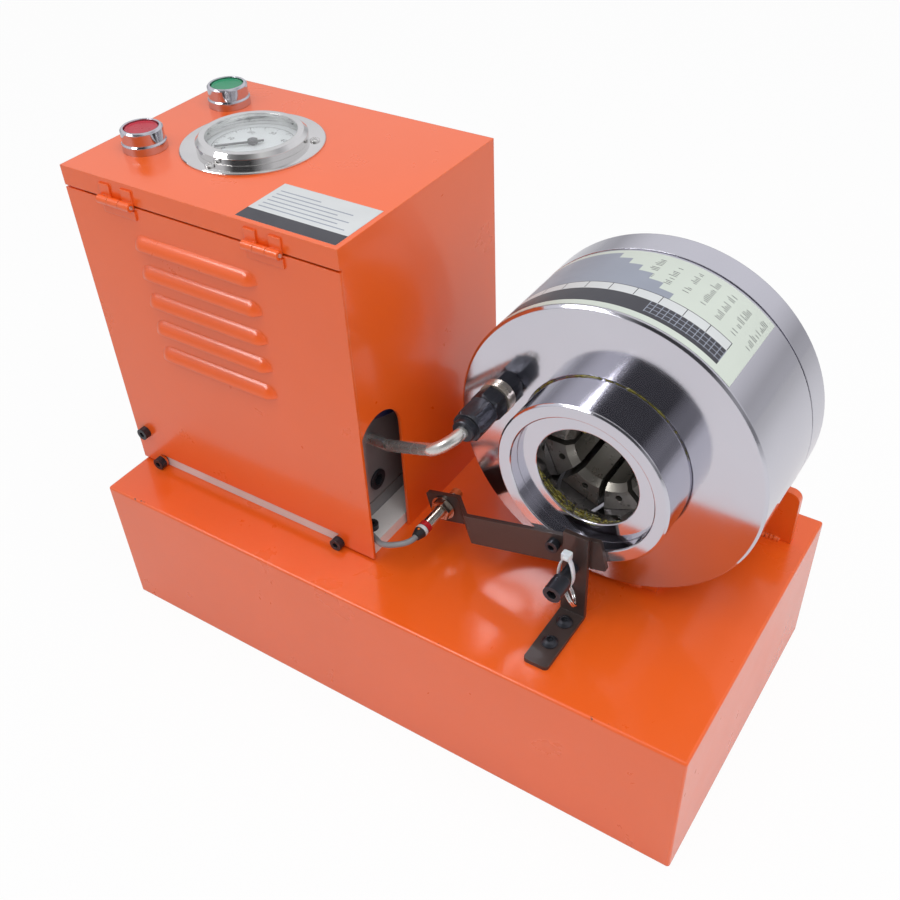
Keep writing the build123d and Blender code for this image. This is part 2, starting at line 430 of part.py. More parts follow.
def make_cradle():
    plate = block(REAR_PLATE_X0, REAR_PLATE_X1, CAP_BACK_Y, CAP_BACK_Y + REAR_PLATE_WALL,
                  BASE_HEIGHT, BASE_HEIGHT + REAR_PLATE_HEIGHT)
    top = plate.edges().filter_by(Axis.Y).sort_by(Axis.Z)[-2:]
    plate = fillet(top, 7)
    for side in (-1, 1):
        angle = math.radians(-90 + 18 * side)
        plate -= rod_y(HEAD_X + CAP_SCREW_CIRCLE * math.cos(angle), CAP_BACK_Y - 1, CAP_BACK_Y + REAR_PLATE_WALL + 1,
                       HEAD_Z + CAP_SCREW_CIRCLE * math.sin(angle), CAP_SCREW_RADIUS + 0.3)
    saddle = block(HEAD_X - SADDLE_WIDTH / 2, HEAD_X + SADDLE_WIDTH / 2, HEAD_FACE_Y + 8,
                   HEAD_FACE_Y + 8 + SADDLE_LENGTH, BASE_HEIGHT, BASE_HEIGHT + SADDLE_HEIGHT)
    saddle -= rod_y(HEAD_X, HEAD_FACE_Y, HEAD_FACE_Y + CAP_END, HEAD_Z, HEAD_RADIUS + 0.1)
    node("head_cradle", plate, saddle)


def make_piston():
    flange = CYLINDER_RADIUS - RUNNING_CLEARANCE
    front = -NOSE_PROTRUSION
    seal0 = (PISTON_FLANGE_START + PISTON_FLANGE_END - SEAL_WIDTH) / 2
    seal1 = seal0 + SEAL_WIDTH
    piston = turned([(0, INSERT_BACK), (INSERT_RADIUS, INSERT_BACK), (INSERT_RADIUS, front + 0.8),
                     (INSERT_RADIUS + 0.8, front), (NOSE_RADIUS - 1.2, front), (NOSE_RADIUS, front + 1.2),
                     (NOSE_RADIUS, PISTON_FLANGE_START), (flange, PISTON_FLANGE_START), (flange, seal0),
                     (flange - SEAL_DEPTH, seal0), (flange - SEAL_DEPTH, seal1), (flange, seal1),
                     (flange, PISTON_FLANGE_END), (0, PISTON_FLANGE_END)])
    piston -= pocket(front_apothem(INSERT_BACK - 1), INSERT_BACK - 1,
                     front_apothem(PISTON_FLANGE_END + 1), PISTON_FLANGE_END + 1)
    spring_hole = Pos(0, 0, PISTON_FLANGE_END - SPRING_POCKET / 2) * Cylinder(SPRING_OUTER + 0.4, SPRING_POCKET)
    for cut in around(spring_hole, SPRING_CIRCLE, SPRING_COUNT):
        piston -= cut
    placed = on_head(piston)
    placed -= rod_y(BAR_BOLT_X, NOSE_FRONT_Y - 1, NOSE_FRONT_Y + 12, BAR_BOLT_Z, 2.5)
    node("piston", placed)
    seal = turned([(flange - SEAL_DEPTH + 0.3, seal0 + 0.3), (flange, seal0 + 0.3),
                   (flange, seal1 - 0.3), (flange - SEAL_DEPTH + 0.3, seal1 - 0.3)])
    node("piston_seal", on_head(seal))
    ring = turned([(INSERT_BORE, INSERT_FRONT + 0.6), (INSERT_BORE + 0.6, INSERT_FRONT), (INSERT_RADIUS, INSERT_FRONT),
                   (INSERT_RADIUS, INSERT_BACK), (INSERT_BORE, INSERT_BACK)])
    node("nose_insert", on_head(ring))
    length = SPIGOT_START - PISTON_FLANGE_END + 2 * SPRING_POCKET
    middle = (SPIGOT_START + PISTON_FLANGE_END) / 2
    spring = Pos(0, 0, middle) * (Cylinder(SPRING_OUTER, length) - Cylinder(SPRING_INNER, length + 2))
    node("return_springs", *[on_head(s) for s in around(spring, SPRING_CIRCLE, SPRING_COUNT)])


def make_jaws():
    gap = WEDGE_CLEARANCE / math.cos(math.radians(WEDGE_ANGLE))
    mouths = (SPIGOT_START + PISTON_FLANGE_END) / 2
    inner = JAW_INNER_RADIUS - 6
    section = [(inner, 0, JAW_FRONT), (front_apothem(JAW_FRONT) - gap, 0, JAW_FRONT),
               (front_apothem(mouths) - gap, 0, mouths), (cap_apothem(JAW_BACK) - gap, 0, JAW_BACK),
               (inner, 0, JAW_BACK)]
    slab = extrude(make_face(Polyline(*section, close=True)), 30, both=True)
    reach = front_apothem(mouths) + 2
    side = JAW_GAP / 2 / math.cos(JAW_HALF)
    tip = side / math.tan(JAW_HALF)
    half = reach * math.tan(JAW_HALF) - side
    wedge = extrude(make_face(Polyline((tip, 0), (reach, -half), (reach, half), close=True)), JAW_BACK + 1)
    bore = turned([(0, JAW_FRONT - 1), (JAW_INNER_RADIUS + 4, JAW_FRONT - 1), (JAW_INNER_RADIUS + 4, JAW_FRONT),
                   (JAW_INNER_RADIUS, JAW_FRONT + 4), (JAW_INNER_RADIUS, JAW_BACK - 4),
                   (JAW_INNER_RADIUS + 4, JAW_BACK), (JAW_INNER_RADIUS + 4, JAW_BACK + 1), (0, JAW_BACK + 1)])
    jaw = (slab & wedge) - bore
    jaw -= Pos((JAW_INNER_RADIUS + front_apothem(JAW_FRONT)) / 2, 0, JAW_FRONT) * Cylinder(2.2, 12)
    for k in range(JAW_COUNT):
        angle = JAW_FIRST_ANGLE + 360.0 / JAW_COUNT * k
        node(f"jaw_{k + 1}", on_head(Rot(0, 0, -angle) * jaw))


# ================================================================ gauge, buttons, electrics
def gauge_screw_places():
    """Screw centres on the gauge's flange, the first one towards the front."""
    angles = [math.radians(-90 + 360 / GAUGE_SCREW_COUNT * k) for k in range(GAUGE_SCREW_COUNT)]
    return [(GAUGE_SCREW_CIRCLE * math.cos(a), GAUGE_SCREW_CIRCLE * math.sin(a)) for a in angles]


def make_gauge():
    place = Pos(GAUGE_X, GAUGE_Y, CABINET_TOP)
    r, t = GAUGE_CASE_RADIUS, GAUGE_SHEET
    depth = -GAUGE_CASE_DEPTH
    case = turned([(0, depth), (r, depth), (r, 0), (GAUGE_FLANGE_RADIUS, 0), (GAUGE_FLANGE_RADIUS, t - 0.5),
                   (GAUGE_FLANGE_RADIUS - 0.5, t), (r - t, t), (r - t, depth + t), (0, depth + t)])
    case += Pos(0, 0, depth) * rod_z(0, 0, -9, 0, 7) - Pos(0, 0, depth) * rod_z(0, 0, -10, -1, 3.05)
    for x, y in gauge_screw_places():
        case -= rod_z(x, y, -1, t + 1, GAUGE_SCREW_RADIUS + 0.1)
    movement = rod_z(0, 0, depth, -2.5, 19) - rod_z(0, 0, -6, 0, 1.6)
    node("gauge_case", place * (case + movement))
    top = t + GAUGE_BEZEL_HEIGHT
    seat = top - 2 - GLASS_THICKNESS
    bezel = turned([(GLASS_RADIUS + 0.2, t), (GAUGE_BEZEL_RADIUS, t), (GAUGE_BEZEL_RADIUS, top - 2.5),
                    (GAUGE_BEZEL_RADIUS - 2.5, top), (GLASS_RADIUS - 1, top), (GLASS_RADIUS - 1, top - 2),
                    (GLASS_RADIUS + 0.2, top - 2)])
    node("gauge_bezel", place * bezel)
    node("gauge_glass", place * rod_z(0, 0, seat, seat + GLASS_THICKNESS, GLASS_RADIUS))
    dial = rod_z(0, 0, -2.5, -1.7, r - t - 0.2) - rod_z(0, 0, -4, 0, 1.6)
    node("gauge_dial", place * dial)
    pointer = block(-7, POINTER_LENGTH, -0.9, 0.9, -0.2, 0.6) + rod_z(0, 0, -0.6, 1.6, 3.2) + rod_z(0, 0, -2.3, 0, 1.2)
    node("gauge_pointer", place * Rot(0, 0, 225) * pointer)
    screws = []
    for x, y in gauge_screw_places():
        head = Pos(x, y, t) * turned([(0, 0), (3.2, 0), (2.6, 1.3), (0, 1.8)])
        screws.append(place * (head + rod_z(x, y, -8, t, GAUGE_SCREW_RADIUS)))
    node("gauge_screws", *screws)


def make_buttons():
    bezels = []
    for name, y in (("stop", STOP_Y), ("start", START_Y)):
        place = Pos(BUTTON_X, y, CABINET_TOP)
        r, h = BUTTON_BEZEL_RADIUS, BUTTON_HEIGHT
        bore = BUTTON_RADIUS + 0.2
        floor = h - 1 - 5 - BUTTON_TRAVEL - 0.5
        bezel = turned([(3.7, -CONTACT_DROP + 2), (BUTTON_THREAD_RADIUS, -CONTACT_DROP + 2), (BUTTON_THREAD_RADIUS, 0),
                        (r, 0), (r, 5), (r - 0.8, 6), (r - 0.8, h - 1), (r - 1.8, h), (bore, h), (bore, floor),
                        (3.7, floor)])
        bezels.append(place * bezel)
        button = turned([(0, h - 6), (BUTTON_RADIUS, h - 6), (BUTTON_RADIUS, h - 1.6), (BUTTON_RADIUS - 0.8, h - 0.8),
                         (BUTTON_RADIUS - 2.2, h - 1.4), (0, h - 1.8)])
        button += rod_z(0, 0, -CONTACT_DROP + 4, h - 6, 3.5)
        node(f"{name}_button", place * button)
    node("button_bezels", *bezels)
    blocks = []
    for y in (STOP_Y, START_Y):
        blocks.append(block(BUTTON_X - 12, BUTTON_X + 12, y - 15, y + 15,
                            CABINET_TOP - CONTACT_DROP - 22, CABINET_TOP - CONTACT_DROP) +
                      rod_z(BUTTON_X, y, CABINET_TOP - CONTACT_DROP, CABINET_TOP - CONTACT_DROP + 2, 11) -
                      rod_z(BUTTON_X, y, CABINET_TOP - CONTACT_DROP - 4, CABINET_TOP - CONTACT_DROP + 3, 4.5))
    node("contact_blocks", *blocks)


GLAND_X, GLAND_Z, GLAND_THREAD, GLAND_BORE = -160.0, 150.0, 8.0, 4.2
CONTACTOR_X0, CONTACTOR_Z0 = -208.0, 190.0


def make_electrics():
    back = CABINET_Y1 - CABINET_WALL
    x0, z0 = CONTACTOR_X0, CONTACTOR_Z0
    body = block(x0, x0 + 45, back - 42, back, z0, z0 + 76)
    body += block(x0 + 4, x0 + 41, back - 58, back - 42, z0 + 14, z0 + 62)
    for k in range(3):
        for z in (z0 + 7, z0 + 69):
            body -= rod_y(x0 + 9.5 + 13 * k, back - 43, back - 38, z, 3)
    node("contactor", body)
    gland = rod_y(GLAND_X, CABINET_Y1 - 10, CABINET_Y1, GLAND_Z, GLAND_THREAD)
    gland += Pos(GLAND_X, CABINET_Y1 + 6, GLAND_Z) * Rot(90, 0, 0) * prism(22.0, 6.0)
    gland += rod_y(GLAND_X, CABINET_Y1 + 6, CABINET_Y1 + 17, GLAND_Z, 9.5)
    gland += Pos(GLAND_X, CABINET_Y1 - 2, GLAND_Z) * Rot(90, 0, 0) * prism(22.0, 4.0)
    node("cable_gland", gland - rod_y(GLAND_X, CABINET_Y1 - 12, CABINET_Y1 + 19, GLAND_Z, GLAND_BORE))


# ================================================================ stop post, bar, sensor
def make_post():
    leg = block(POST_X0, POST_X1, POST_FRONT_Y, POST_BACK_Y, BASE_HEIGHT, POST_TOP)
    foot = block(POST_X0, POST_X1, POST_FOOT_FRONT, POST_BACK_Y, BASE_HEIGHT, BASE_HEIGHT + POST_SHEET)
    post = leg + foot
    post = fillet(post.edges().filter_by(Axis.X).sort_by(lambda e: (e.center().Y, -e.center().Z))[-1], POST_SHEET)
    corners = post.edges().filter_by(Axis.Z).filter_by(lambda e: e.center().Y < POST_FOOT_FRONT + 1)
    post = fillet(corners, 3)
    middle = (POST_X0 + POST_X1) / 2
    for y in POST_SCREW_YS:
        post -= rod_z(middle, y, BASE_HEIGHT - 1, BASE_HEIGHT + POST_SHEET + 1, 3.1)
    node("stop_post", post)
    screws = []
    for y in POST_SCREW_YS:
        head = turned([(0, 0), (5.3, 0), (5.3, 0.8), (4.0, 2.6), (2.6, 3.3), (0, 3.3)])
        head -= Pos(0, 0, 1.2) * prism(4.0, 4.0)
        screws.append(Pos(middle, y, BASE_HEIGHT + POST_SHEET) * (head + rod_z(0, 0, -POST_SHEET - 9, 0, 3.0)))
    return screws


def bar_place():
    """Plane of the bar: local X along it, local Y across it, local Z forwards out of its face."""
    tilt = math.radians(BAR_TILT)
    return Plane(origin=(BAR_BOLT_X, NOSE_FRONT_Y, BAR_BOLT_Z), x_dir=(math.cos(tilt), 0, math.sin(tilt)),
                 z_dir=(0, -1, 0))


def make_bar():
    place = bar_place()
    t = BAR_SHEET
    bend = t * math.tan(math.radians(22.5))
    section = [(BAR_RIGHT, 0, 0), (BAR_RIGHT, 0, t), (BAR_LEFT, 0, t), (BAR_LEFT - JOG, 0, t - JOG),
               (BAR_LEFT - JOG - PLATE_LENGTH, 0, t - JOG), (BAR_LEFT - JOG - PLATE_LENGTH, 0, -JOG),
               (BAR_LEFT - JOG + bend, 0, -JOG), (BAR_LEFT + bend, 0, 0)]
    height = BAR_TOP - BAR_BOTTOM
    strip = Pos(0, BAR_TOP, 0) * extrude(make_face(Polyline(*section, close=True)), height, dir=(0, -1, 0))
    corners = strip.edges().filter_by(Axis.Z)
    strip = fillet(corners, 2)
    strip -= Cylinder(2.8, 20)
    strip -= Pos(SENSOR_U, SENSOR_V, -JOG) * Cylinder(SENSOR_RADIUS + 0.1, 20)
    node("sensor_bar", place * strip)
    bolt = Pos(0, 0, t + 2.5) * Cylinder(4.3, 5) + Pos(0, 0, t / 2 - 4) * Cylinder(2.5, t + 8)
    node("bar_screw", place * (bolt - Pos(0, 0, t + 2) * prism(4.0, 4.0)))
    axis = place * Pos(SENSOR_U, SENSOR_V, t - JOG)
    length = SENSOR_TIP_REACH + SENSOR_BARREL_REACH
    barrel = Pos(0, 0, (SENSOR_BARREL_REACH - SENSOR_TIP_REACH) / 2) * Cylinder(SENSOR_RADIUS, length)
    node("sensor_barrel", axis * barrel)
    hole = Cylinder(SENSOR_RADIUS + 0.05, 60)
    washer = Pos(0, 0, 0.8) * Cylinder(SENSOR_NUT_RADIUS, 1.6) - hole
    front_nut = Pos(0, 0, 1.6) * prism(13.0, 4.0) - hole
    back_nut = Pos(0, 0, -t - 4) * prism(13.0, 4.0) - hole
    node("sensor_nuts", axis * washer, axis * front_nut, axis * back_nut)
    start = SENSOR_BARREL_REACH
    tail = turned([(0, start), (4.3, start), (4.3, start + SENSOR_TAIL - 5), (2.9, start + SENSOR_TAIL),
                   (0, start + SENSOR_TAIL)])
    node("sensor_tail", axis * tail)
    exit_point = (axis * Pos(0, 0, start + SENSOR_TAIL)).position
    bend_point = (axis * Pos(0, 0, start + SENSOR_TAIL + 7)).position
    points = [exit_point, bend_point] + [Vector(*p) for p in CABLE_ROUTE] + [Vector(-186.0, 45.0, CONTACTOR_Z0)]
    node("sensor_cable", cable(points))


def cable(points):
    """Round cable along straight runs joined by arcs as large as the runs allow."""
    radii = []
    for before, here, after in zip(points, points[1:], points[2:]):
        turn = math.radians((here - before).get_angle(after - here))
        run = min((here - before).length, (after - here).length)
        radii.append(0.45 * run / math.tan(turn / 2))
    route = FilletPolyline(*points, radius=radii)
    print("cable arcs", [round(r, 1) for r in radii], "length", round(route.length, 1))
    return sweep(Plane(route @ 0, z_dir=route % 0) * Circle(CABLE_RADIUS), path=route)


def make_hanging():
    tool = rod_y(TOOL_X, POST_FRONT_Y - TOOL_NECK, POST_FRONT_Y, TOOL_Z, TOOL_NECK_RADIUS)
    tool += rod_y(TOOL_X, POST_FRONT_Y - TOOL_LENGTH, POST_FRONT_Y - TOOL_NECK, TOOL_Z, TOOL_HEAD_RADIUS)
    tool -= Pos(TOOL_X, POST_FRONT_Y - TOOL_LENGTH + 10, TOOL_Z) * Rot(90, 0, 0) * prism(TOOL_HEX, 12.0)
    node("die_tool", tool)
    tie_y, tie_z, half = POST_FRONT_Y - 9.0, TOOL_Z + 3.5, 6.5
    outer = Plane((TOOL_X, tie_y, tie_z), x_dir=(0, 0, 1), z_dir=(0, -1, 0)) * SlotOverall(26.0, 2 * half)
    inner = Plane((TOOL_X, tie_y, tie_z), x_dir=(0, 0, 1), z_dir=(0, -1, 0)) * SlotOverall(23.8, 2 * half - 2.2)
    tie = extrude(outer - inner, 1.75, both=True)
    tie += block(TOOL_X - 3.2, TOOL_X + 3.2, tie_y - 2.6, tie_y + 2.6, tie_z + 11.5, tie_z + 17)
    node("zip_tie", tie)
    ring_radius, wire = 8.6, 0.8
    ring_z = tie_z - 11.9 + wire + 1.1 - ring_radius
    ring = Pos(0, 0, -0.6) * Torus(ring_radius, wire) + Pos(0, 0, 0.6) * Torus(ring_radius, wire)
    plane = Plane(origin=(TOOL_X, tie_y, ring_z), x_dir=(0, 0, 1), z_dir=(0.8, 0.6, 0))
    node("split_ring", plane * ring)


def build():
    make_base()
    make_cabinet()
    make_door()
    make_hinges()
    tray_screws = make_tray()
    make_power_unit()
    make_pipework()
    make_cylinder()
    make_cradle()
    make_piston()
    make_jaws()
    make_gauge()
    make_buttons()
    make_electrics()
    node("button_head_screws", *tray_screws, *make_post())
    make_bar()
    make_hanging()
    os.makedirs("parts", exist_ok=True)
    for name, solids in NODES.items():
        found = [s for part in solids for s in part.solids()]
        export_step(Compound(children=found), f"parts/{name}.step")
    print(len(NODES), "nodes")


build()
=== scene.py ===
import math

import bpy
import numpy as np
from mathutils import Matrix, Vector


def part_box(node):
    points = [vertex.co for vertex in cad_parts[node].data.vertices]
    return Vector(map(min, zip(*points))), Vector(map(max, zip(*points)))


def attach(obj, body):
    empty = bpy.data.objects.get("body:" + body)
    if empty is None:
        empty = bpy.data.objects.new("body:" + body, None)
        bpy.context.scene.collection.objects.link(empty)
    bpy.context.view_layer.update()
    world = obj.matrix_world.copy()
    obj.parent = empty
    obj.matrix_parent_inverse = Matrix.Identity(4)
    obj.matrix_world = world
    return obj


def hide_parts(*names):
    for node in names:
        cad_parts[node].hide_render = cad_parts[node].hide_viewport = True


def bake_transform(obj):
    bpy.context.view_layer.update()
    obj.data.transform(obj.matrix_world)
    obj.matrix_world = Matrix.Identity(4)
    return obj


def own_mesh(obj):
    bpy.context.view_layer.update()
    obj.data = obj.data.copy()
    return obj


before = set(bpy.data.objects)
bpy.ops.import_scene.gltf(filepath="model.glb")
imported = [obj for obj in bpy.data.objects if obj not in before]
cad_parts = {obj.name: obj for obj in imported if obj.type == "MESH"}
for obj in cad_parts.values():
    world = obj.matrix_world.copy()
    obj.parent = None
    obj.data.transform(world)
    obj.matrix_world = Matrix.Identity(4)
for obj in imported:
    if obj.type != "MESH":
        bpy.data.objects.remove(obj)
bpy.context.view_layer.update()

MM = 0.001
TURN = 2 * math.pi

# Sizes of the solids that the pieces here have to meet, in millimetres.
NOSE_RADIUS, NOSE_BORE = 55.75, 33.4
NUT_ACROSS = 19.0
BUTTON_BEZEL_RADIUS = 14.2
GAUGE_SHEET, GAUGE_SCREW_CIRCLE = 1.5, 39.4
CABLE_RADIUS = 2.0


# ---------------------------------------------------------------- node helpers
def put(tree, kind, inputs=(), **properties):
    """Add one shader node; inputs maps socket names or numbers to values or to sockets that feed them."""
    node = tree.nodes.new("ShaderNode" + kind)
    for key, value in properties.items():
        setattr(node, key, value)
    for key, value in (inputs.items() if isinstance(inputs, dict) else enumerate(inputs)):
        if isinstance(value, bpy.types.NodeSocket):
            tree.links.new(value, node.inputs[key])
        elif value is not None:
            node.inputs[key].default_value = value
    return node


def maths(tree, operation, *values, clamp=False):
    """Result socket of a Math node."""
    return put(tree, "Math", values, operation=operation, use_clamp=clamp).outputs[0]


def vector_maths(tree, operation, *values):
    """Result socket of a Vector Math node that gives a vector."""
    return put(tree, "VectorMath", values, operation=operation).outputs[0]


def vector_measure(tree, operation, *values):
    """Result socket of a Vector Math node that gives a number."""
    return put(tree, "VectorMath", values, operation=operation).outputs["Value"]


def mixed(tree, factor, first, second):
    """Colour that goes from first to second with factor."""
    return put(tree, "Mix", {0: factor, 6: first, 7: second}, data_type="RGBA").outputs[2]


def ranged(tree, value, from0, from1, to0, to1):
    """Value carried from one range to another, held inside it."""
    return put(tree, "MapRange", {0: value, 1: from0, 2: from1, 3: to0, 4: to1}).outputs[0]


def rgb(red, green, blue):
    """Linear colour from screen values of 0 to 255."""
    line = [c / 255 / 12.92 if c <= 10 else ((c / 255 + 0.055) / 1.055) ** 2.4 for c in (red, green, blue)]
    return (*line, 1.0)


def effect(name, inputs, outputs):
    """Empty node group with named sockets, its input node and its output node."""
    tree = bpy.data.node_groups.new(name, "ShaderNodeTree")
    for label, kind, value in inputs:
        socket = tree.interface.new_socket(label, in_out="INPUT", socket_type="NodeSocket" + kind)
        if value is not None:
            socket.default_value = value
    for label, kind in outputs:
        tree.interface.new_socket(label, in_out="OUTPUT", socket_type="NodeSocket" + kind)
    return tree, tree.nodes.new("NodeGroupInput").outputs, tree.nodes.new("NodeGroupOutput").inputs


def object_place(tree):
    """Object coordinates, in metres."""
    return put(tree, "TexCoord").outputs["Object"]


def noise(tree, scale, detail=3.0, rough=0.5, place=None, warp=0.0):
    """Noise value of about 0 to 1 over Object coordinates."""
    return put(tree, "TexNoise", {"Vector": place or object_place(tree), "Scale": scale, "Detail": detail,
                                  "Roughness": rough, "Distortion": warp}).outputs[0]


def bevel(tree, radius, samples=4):
    """Normal as if every corner were rounded."""
    return put(tree, "Bevel", {"Radius": radius}, samples=samples).outputs[0]


def bump(tree, height, strength, depth, normal=None):
    """Normal bent by a height."""
    return put(tree, "Bump", {"Strength": strength, "Distance": depth, "Height": height,
                              "Normal": normal}).outputs[0]


# ---------------------------------------------------------------- shared effects
def make_tone_shift():
    """A colour that grows a little lighter and darker in soft clouds."""
    tree, given, out = effect("Tone Shift", [
        ("Color", "Color", (0.5, 0.5, 0.5, 1)), ("Scale", "Float", 20.0), ("Amount", "Float", 0.1)],
        [("Color", "Color")])
    cloud = ranged(tree, noise(tree, given["Scale"], 4.0), 0.3, 0.7, -1.0, 1.0)
    gain = maths(tree, "ADD", maths(tree, "MULTIPLY", cloud, given["Amount"]), 1.0)
    tree.links.new(vector_maths(tree, "MULTIPLY", given["Color"], gain), out["Color"])
    return tree


def make_worn_gloss():
    """Roughness that wanders between two values, with fine smears along one way."""
    tree, given, out = effect("Worn Gloss", [
        ("Low", "Float", 0.2), ("High", "Float", 0.4), ("Scale", "Float", 30.0),
        ("Stretch", "Vector", (1, 1, 1))], [("Roughness", "Float")])
    place = vector_maths(tree, "MULTIPLY", object_place(tree), given["Stretch"])
    cloud = noise(tree, given["Scale"], 6.0, 0.6, place, 0.4)
    tree.links.new(ranged(tree, cloud, 0.32, 0.68, given["Low"], given["High"]), out["Roughness"])
    return tree


def make_fine_relief():
    """Normal with a small even grain, such as orange peel, cast skin or rolled scale."""
    tree, given, out = effect("Fine Relief", [
        ("Scale", "Float", 500.0), ("Strength", "Float", 0.1), ("Depth", "Float", 0.0002),
        ("Normal", "Vector", None)], [("Normal", "Vector")])
    grain = noise(tree, given["Scale"], 2.0, 0.5)
    tree.links.new(bump(tree, grain, given["Strength"], given["Depth"], given["Normal"]), out["Normal"])
    return tree


def make_edge_wear_and_highlight():
    """Mask that is high where a corner is sharp, broken up by noise: worn edges, or the orange paint's painted
    highlight.
    """
    tree, given, out = effect("Edge Wear And Highlight", [
        ("Width", "Float", 0.001), ("Amount", "Float", 0.5), ("Scale", "Float", 200.0)], [("Mask", "Float")])
    true = put(tree, "NewGeometry").outputs["Normal"]
    level = vector_measure(tree, "DOT_PRODUCT", bevel(tree, given["Width"]), true)
    corner = ranged(tree, level, 0.99, 0.80, 0.0, 1.0)
    broken = ranged(tree, noise(tree, given["Scale"], 6.0, 0.7), 0.45, 0.6, 0.0, 1.0)
    worn = maths(tree, "MULTIPLY", maths(tree, "MULTIPLY", corner, broken), given["Amount"], clamp=True)
    tree.links.new(worn, out["Mask"])
    return tree


def make_turning_marks():
    """Normal and mask with fine rings about an axis along Y through Centre, as a lathe leaves them."""
    tree, given, out = effect("Turning Marks", [
        ("Centre", "Vector", (0, 0, 0)), ("Pitch", "Float", 0.0006), ("Strength", "Float", 0.05),
        ("Normal", "Vector", None)], [("Normal", "Vector"), ("Mask", "Float")])
    off = vector_maths(tree, "SUBTRACT", object_place(tree), given["Centre"])
    radius = vector_measure(tree, "LENGTH", vector_maths(tree, "MULTIPLY", off, (1, 0, 1)))
    along_axis = put(tree, "SeparateXYZ", (object_place(tree),)).outputs[1]
    steps = maths(tree, "DIVIDE", maths(tree, "ADD", radius, along_axis), given["Pitch"])
    line = put(tree, "TexNoise", {"W": steps, "Scale": 1.0, "Detail": 3.0}, noise_dimensions="1D").outputs[0]
    tree.links.new(bump(tree, line, given["Strength"], 0.0002, given["Normal"]), out["Normal"])
    tree.links.new(ranged(tree, line, 0.4, 0.6, 0.0, 1.0), out["Mask"])
    return tree


def make_corner_shade_and_grime():
    """Colour with painted shade in corners, from ambient occlusion broken up by noise, and loose oily specks.
    """
    tree, given, out = effect("Corner Shade And Grime", [
        ("Color", "Color", (0.5, 0.5, 0.5, 1)), ("Shade And Dirt", "Color", (0.05, 0.04, 0.02, 1)),
        ("Amount", "Float", 0.5), ("Scale", "Float", 60.0)], [("Color", "Color")])
    # Ambient occlusion finds the corners; darkening the colour there is painted shade.
    corner = put(tree, "AmbientOcclusion", {"Distance": 0.012}, samples=4).outputs["AO"]
    shade = ranged(tree, corner, 0.35, 0.85, 1.0, 0.0)
    film = ranged(tree, noise(tree, given["Scale"], 8.0, 0.65), 0.42, 0.66, 0.15, 1.0)
    fine = noise(tree, maths(tree, "MULTIPLY", given["Scale"], 9.0), 2.0)
    speck = ranged(tree, fine, 0.68, 0.74, 0.0, 0.6)
    shade_and_dirt = maths(tree, "ADD", maths(tree, "MULTIPLY", shade, film), speck)
    mask = maths(tree, "MULTIPLY", shade_and_dirt, given["Amount"], clamp=True)
    tree.links.new(mixed(tree, mask, given["Color"], given["Shade And Dirt"]), out["Color"])
    return tree


TONE, GLOSS, RELIEF = make_tone_shift(), make_worn_gloss(), make_fine_relief()
EDGE_WEAR_AND_HIGHLIGHT, MARKS, CORNER_SHADE_AND_GRIME = make_edge_wear_and_highlight(), make_turning_marks(), make_corner_shade_and_grime()


def use(tree, shared, **inputs):
    """Outputs of a shared effect placed in a material's tree."""
    node = tree.nodes.new("ShaderNodeGroup")
    node.node_tree = shared
    for key, value in inputs.items():
        if isinstance(value, bpy.types.NodeSocket):
            tree.links.new(value, node.inputs[key])
        else:
            node.inputs[key].default_value = value
    return node.outputs


# ---------------------------------------------------------------- measures read from the solids
def span(name):
    """Lowest and highest corner of a CAD node, in millimetres."""
    low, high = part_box(name)
    return np.array(low) / MM, np.array(high) / MM


base_low, base_high = span("base_box")
cab_low, cab_high = span("cabinet_shell")
head_low, head_high = span("cylinder_body")
HEAD_X, _, HEAD_Z = (head_low + head_high) / 2
HEAD_R, FACE_Y = (head_high[0] - head_low[0]) / 2, head_low[1]
HEAD_AXIS = (HEAD_X * MM, 0.0, HEAD_Z * MM)
CAB_TOP = cab_high[2]

# ---------------------------------------------------------------- finishes
FINISHES = {}


def blank(name):
    """Tree and Principled shader of a new material, which FINISHES keeps under its name."""
    material = bpy.data.materials.new(name)
    material.use_nodes = True
    tree = material.node_tree
    tree.nodes.clear()
    shader = tree.nodes.new("ShaderNodeBsdfPrincipled")
    tree.links.new(shader.outputs[0], tree.nodes.new("ShaderNodeOutputMaterial").inputs[0])
    FINISHES[name] = material
    return tree, shader


def feed(tree, shader, colour, rough, normal, **plain):
    """Link a shader's colour, roughness and normal, and set plain values; underscores stand for spaces."""
    for key, socket in (("Base Color", colour), ("Roughness", rough), ("Normal", normal)):
        if socket is not None:
            tree.links.new(socket, shader.inputs[key])
    for key, value in plain.items():
        shader.inputs[key.replace("_", " ")].default_value = value


def finish(name, base, gloss, tone=(25.0, 0.06), relief=(600.0, 0.08), metal=0.0, coat=0.0, wear=None,
           grime=None, turned=None, round_edges=0.0004, **plain):
    """A finish from the shared effects: base colour, gloss as (low, high, scale), tone as (scale, amount),
    relief as (scale, strength), wear as (colour, width, amount), grime as (amount, scale) for painted shade
    in corners with oily specks, turned as (centre, pitch, strength)."""
    tree, shader = blank(name)
    colour = use(tree, TONE, Color=base, Scale=tone[0], Amount=tone[1])["Color"]
    # Painted shade in corners, with oily specks.
    if grime:
        colour = use(tree, CORNER_SHADE_AND_GRIME, Color=colour, Amount=grime[0], Scale=grime[1])["Color"]
    rough = use(tree, GLOSS, Low=gloss[0], High=gloss[1], Scale=gloss[2])["Roughness"]
    if wear:
        mask = use(tree, EDGE_WEAR_AND_HIGHLIGHT, Width=wear[1], Amount=wear[2])["Mask"]
        colour = mixed(tree, mask, colour, wear[0])
    rounded = bevel(tree, round_edges)
    normal = use(tree, RELIEF, Scale=relief[0], Strength=relief[1], Normal=rounded)["Normal"]
    if turned:
        normal = use(tree, MARKS, Centre=turned[0], Pitch=turned[1], Strength=turned[2],
                     Normal=normal)["Normal"]
    feed(tree, shader, colour, rough, normal, Metallic=metal, Coat_Weight=coat, **plain)


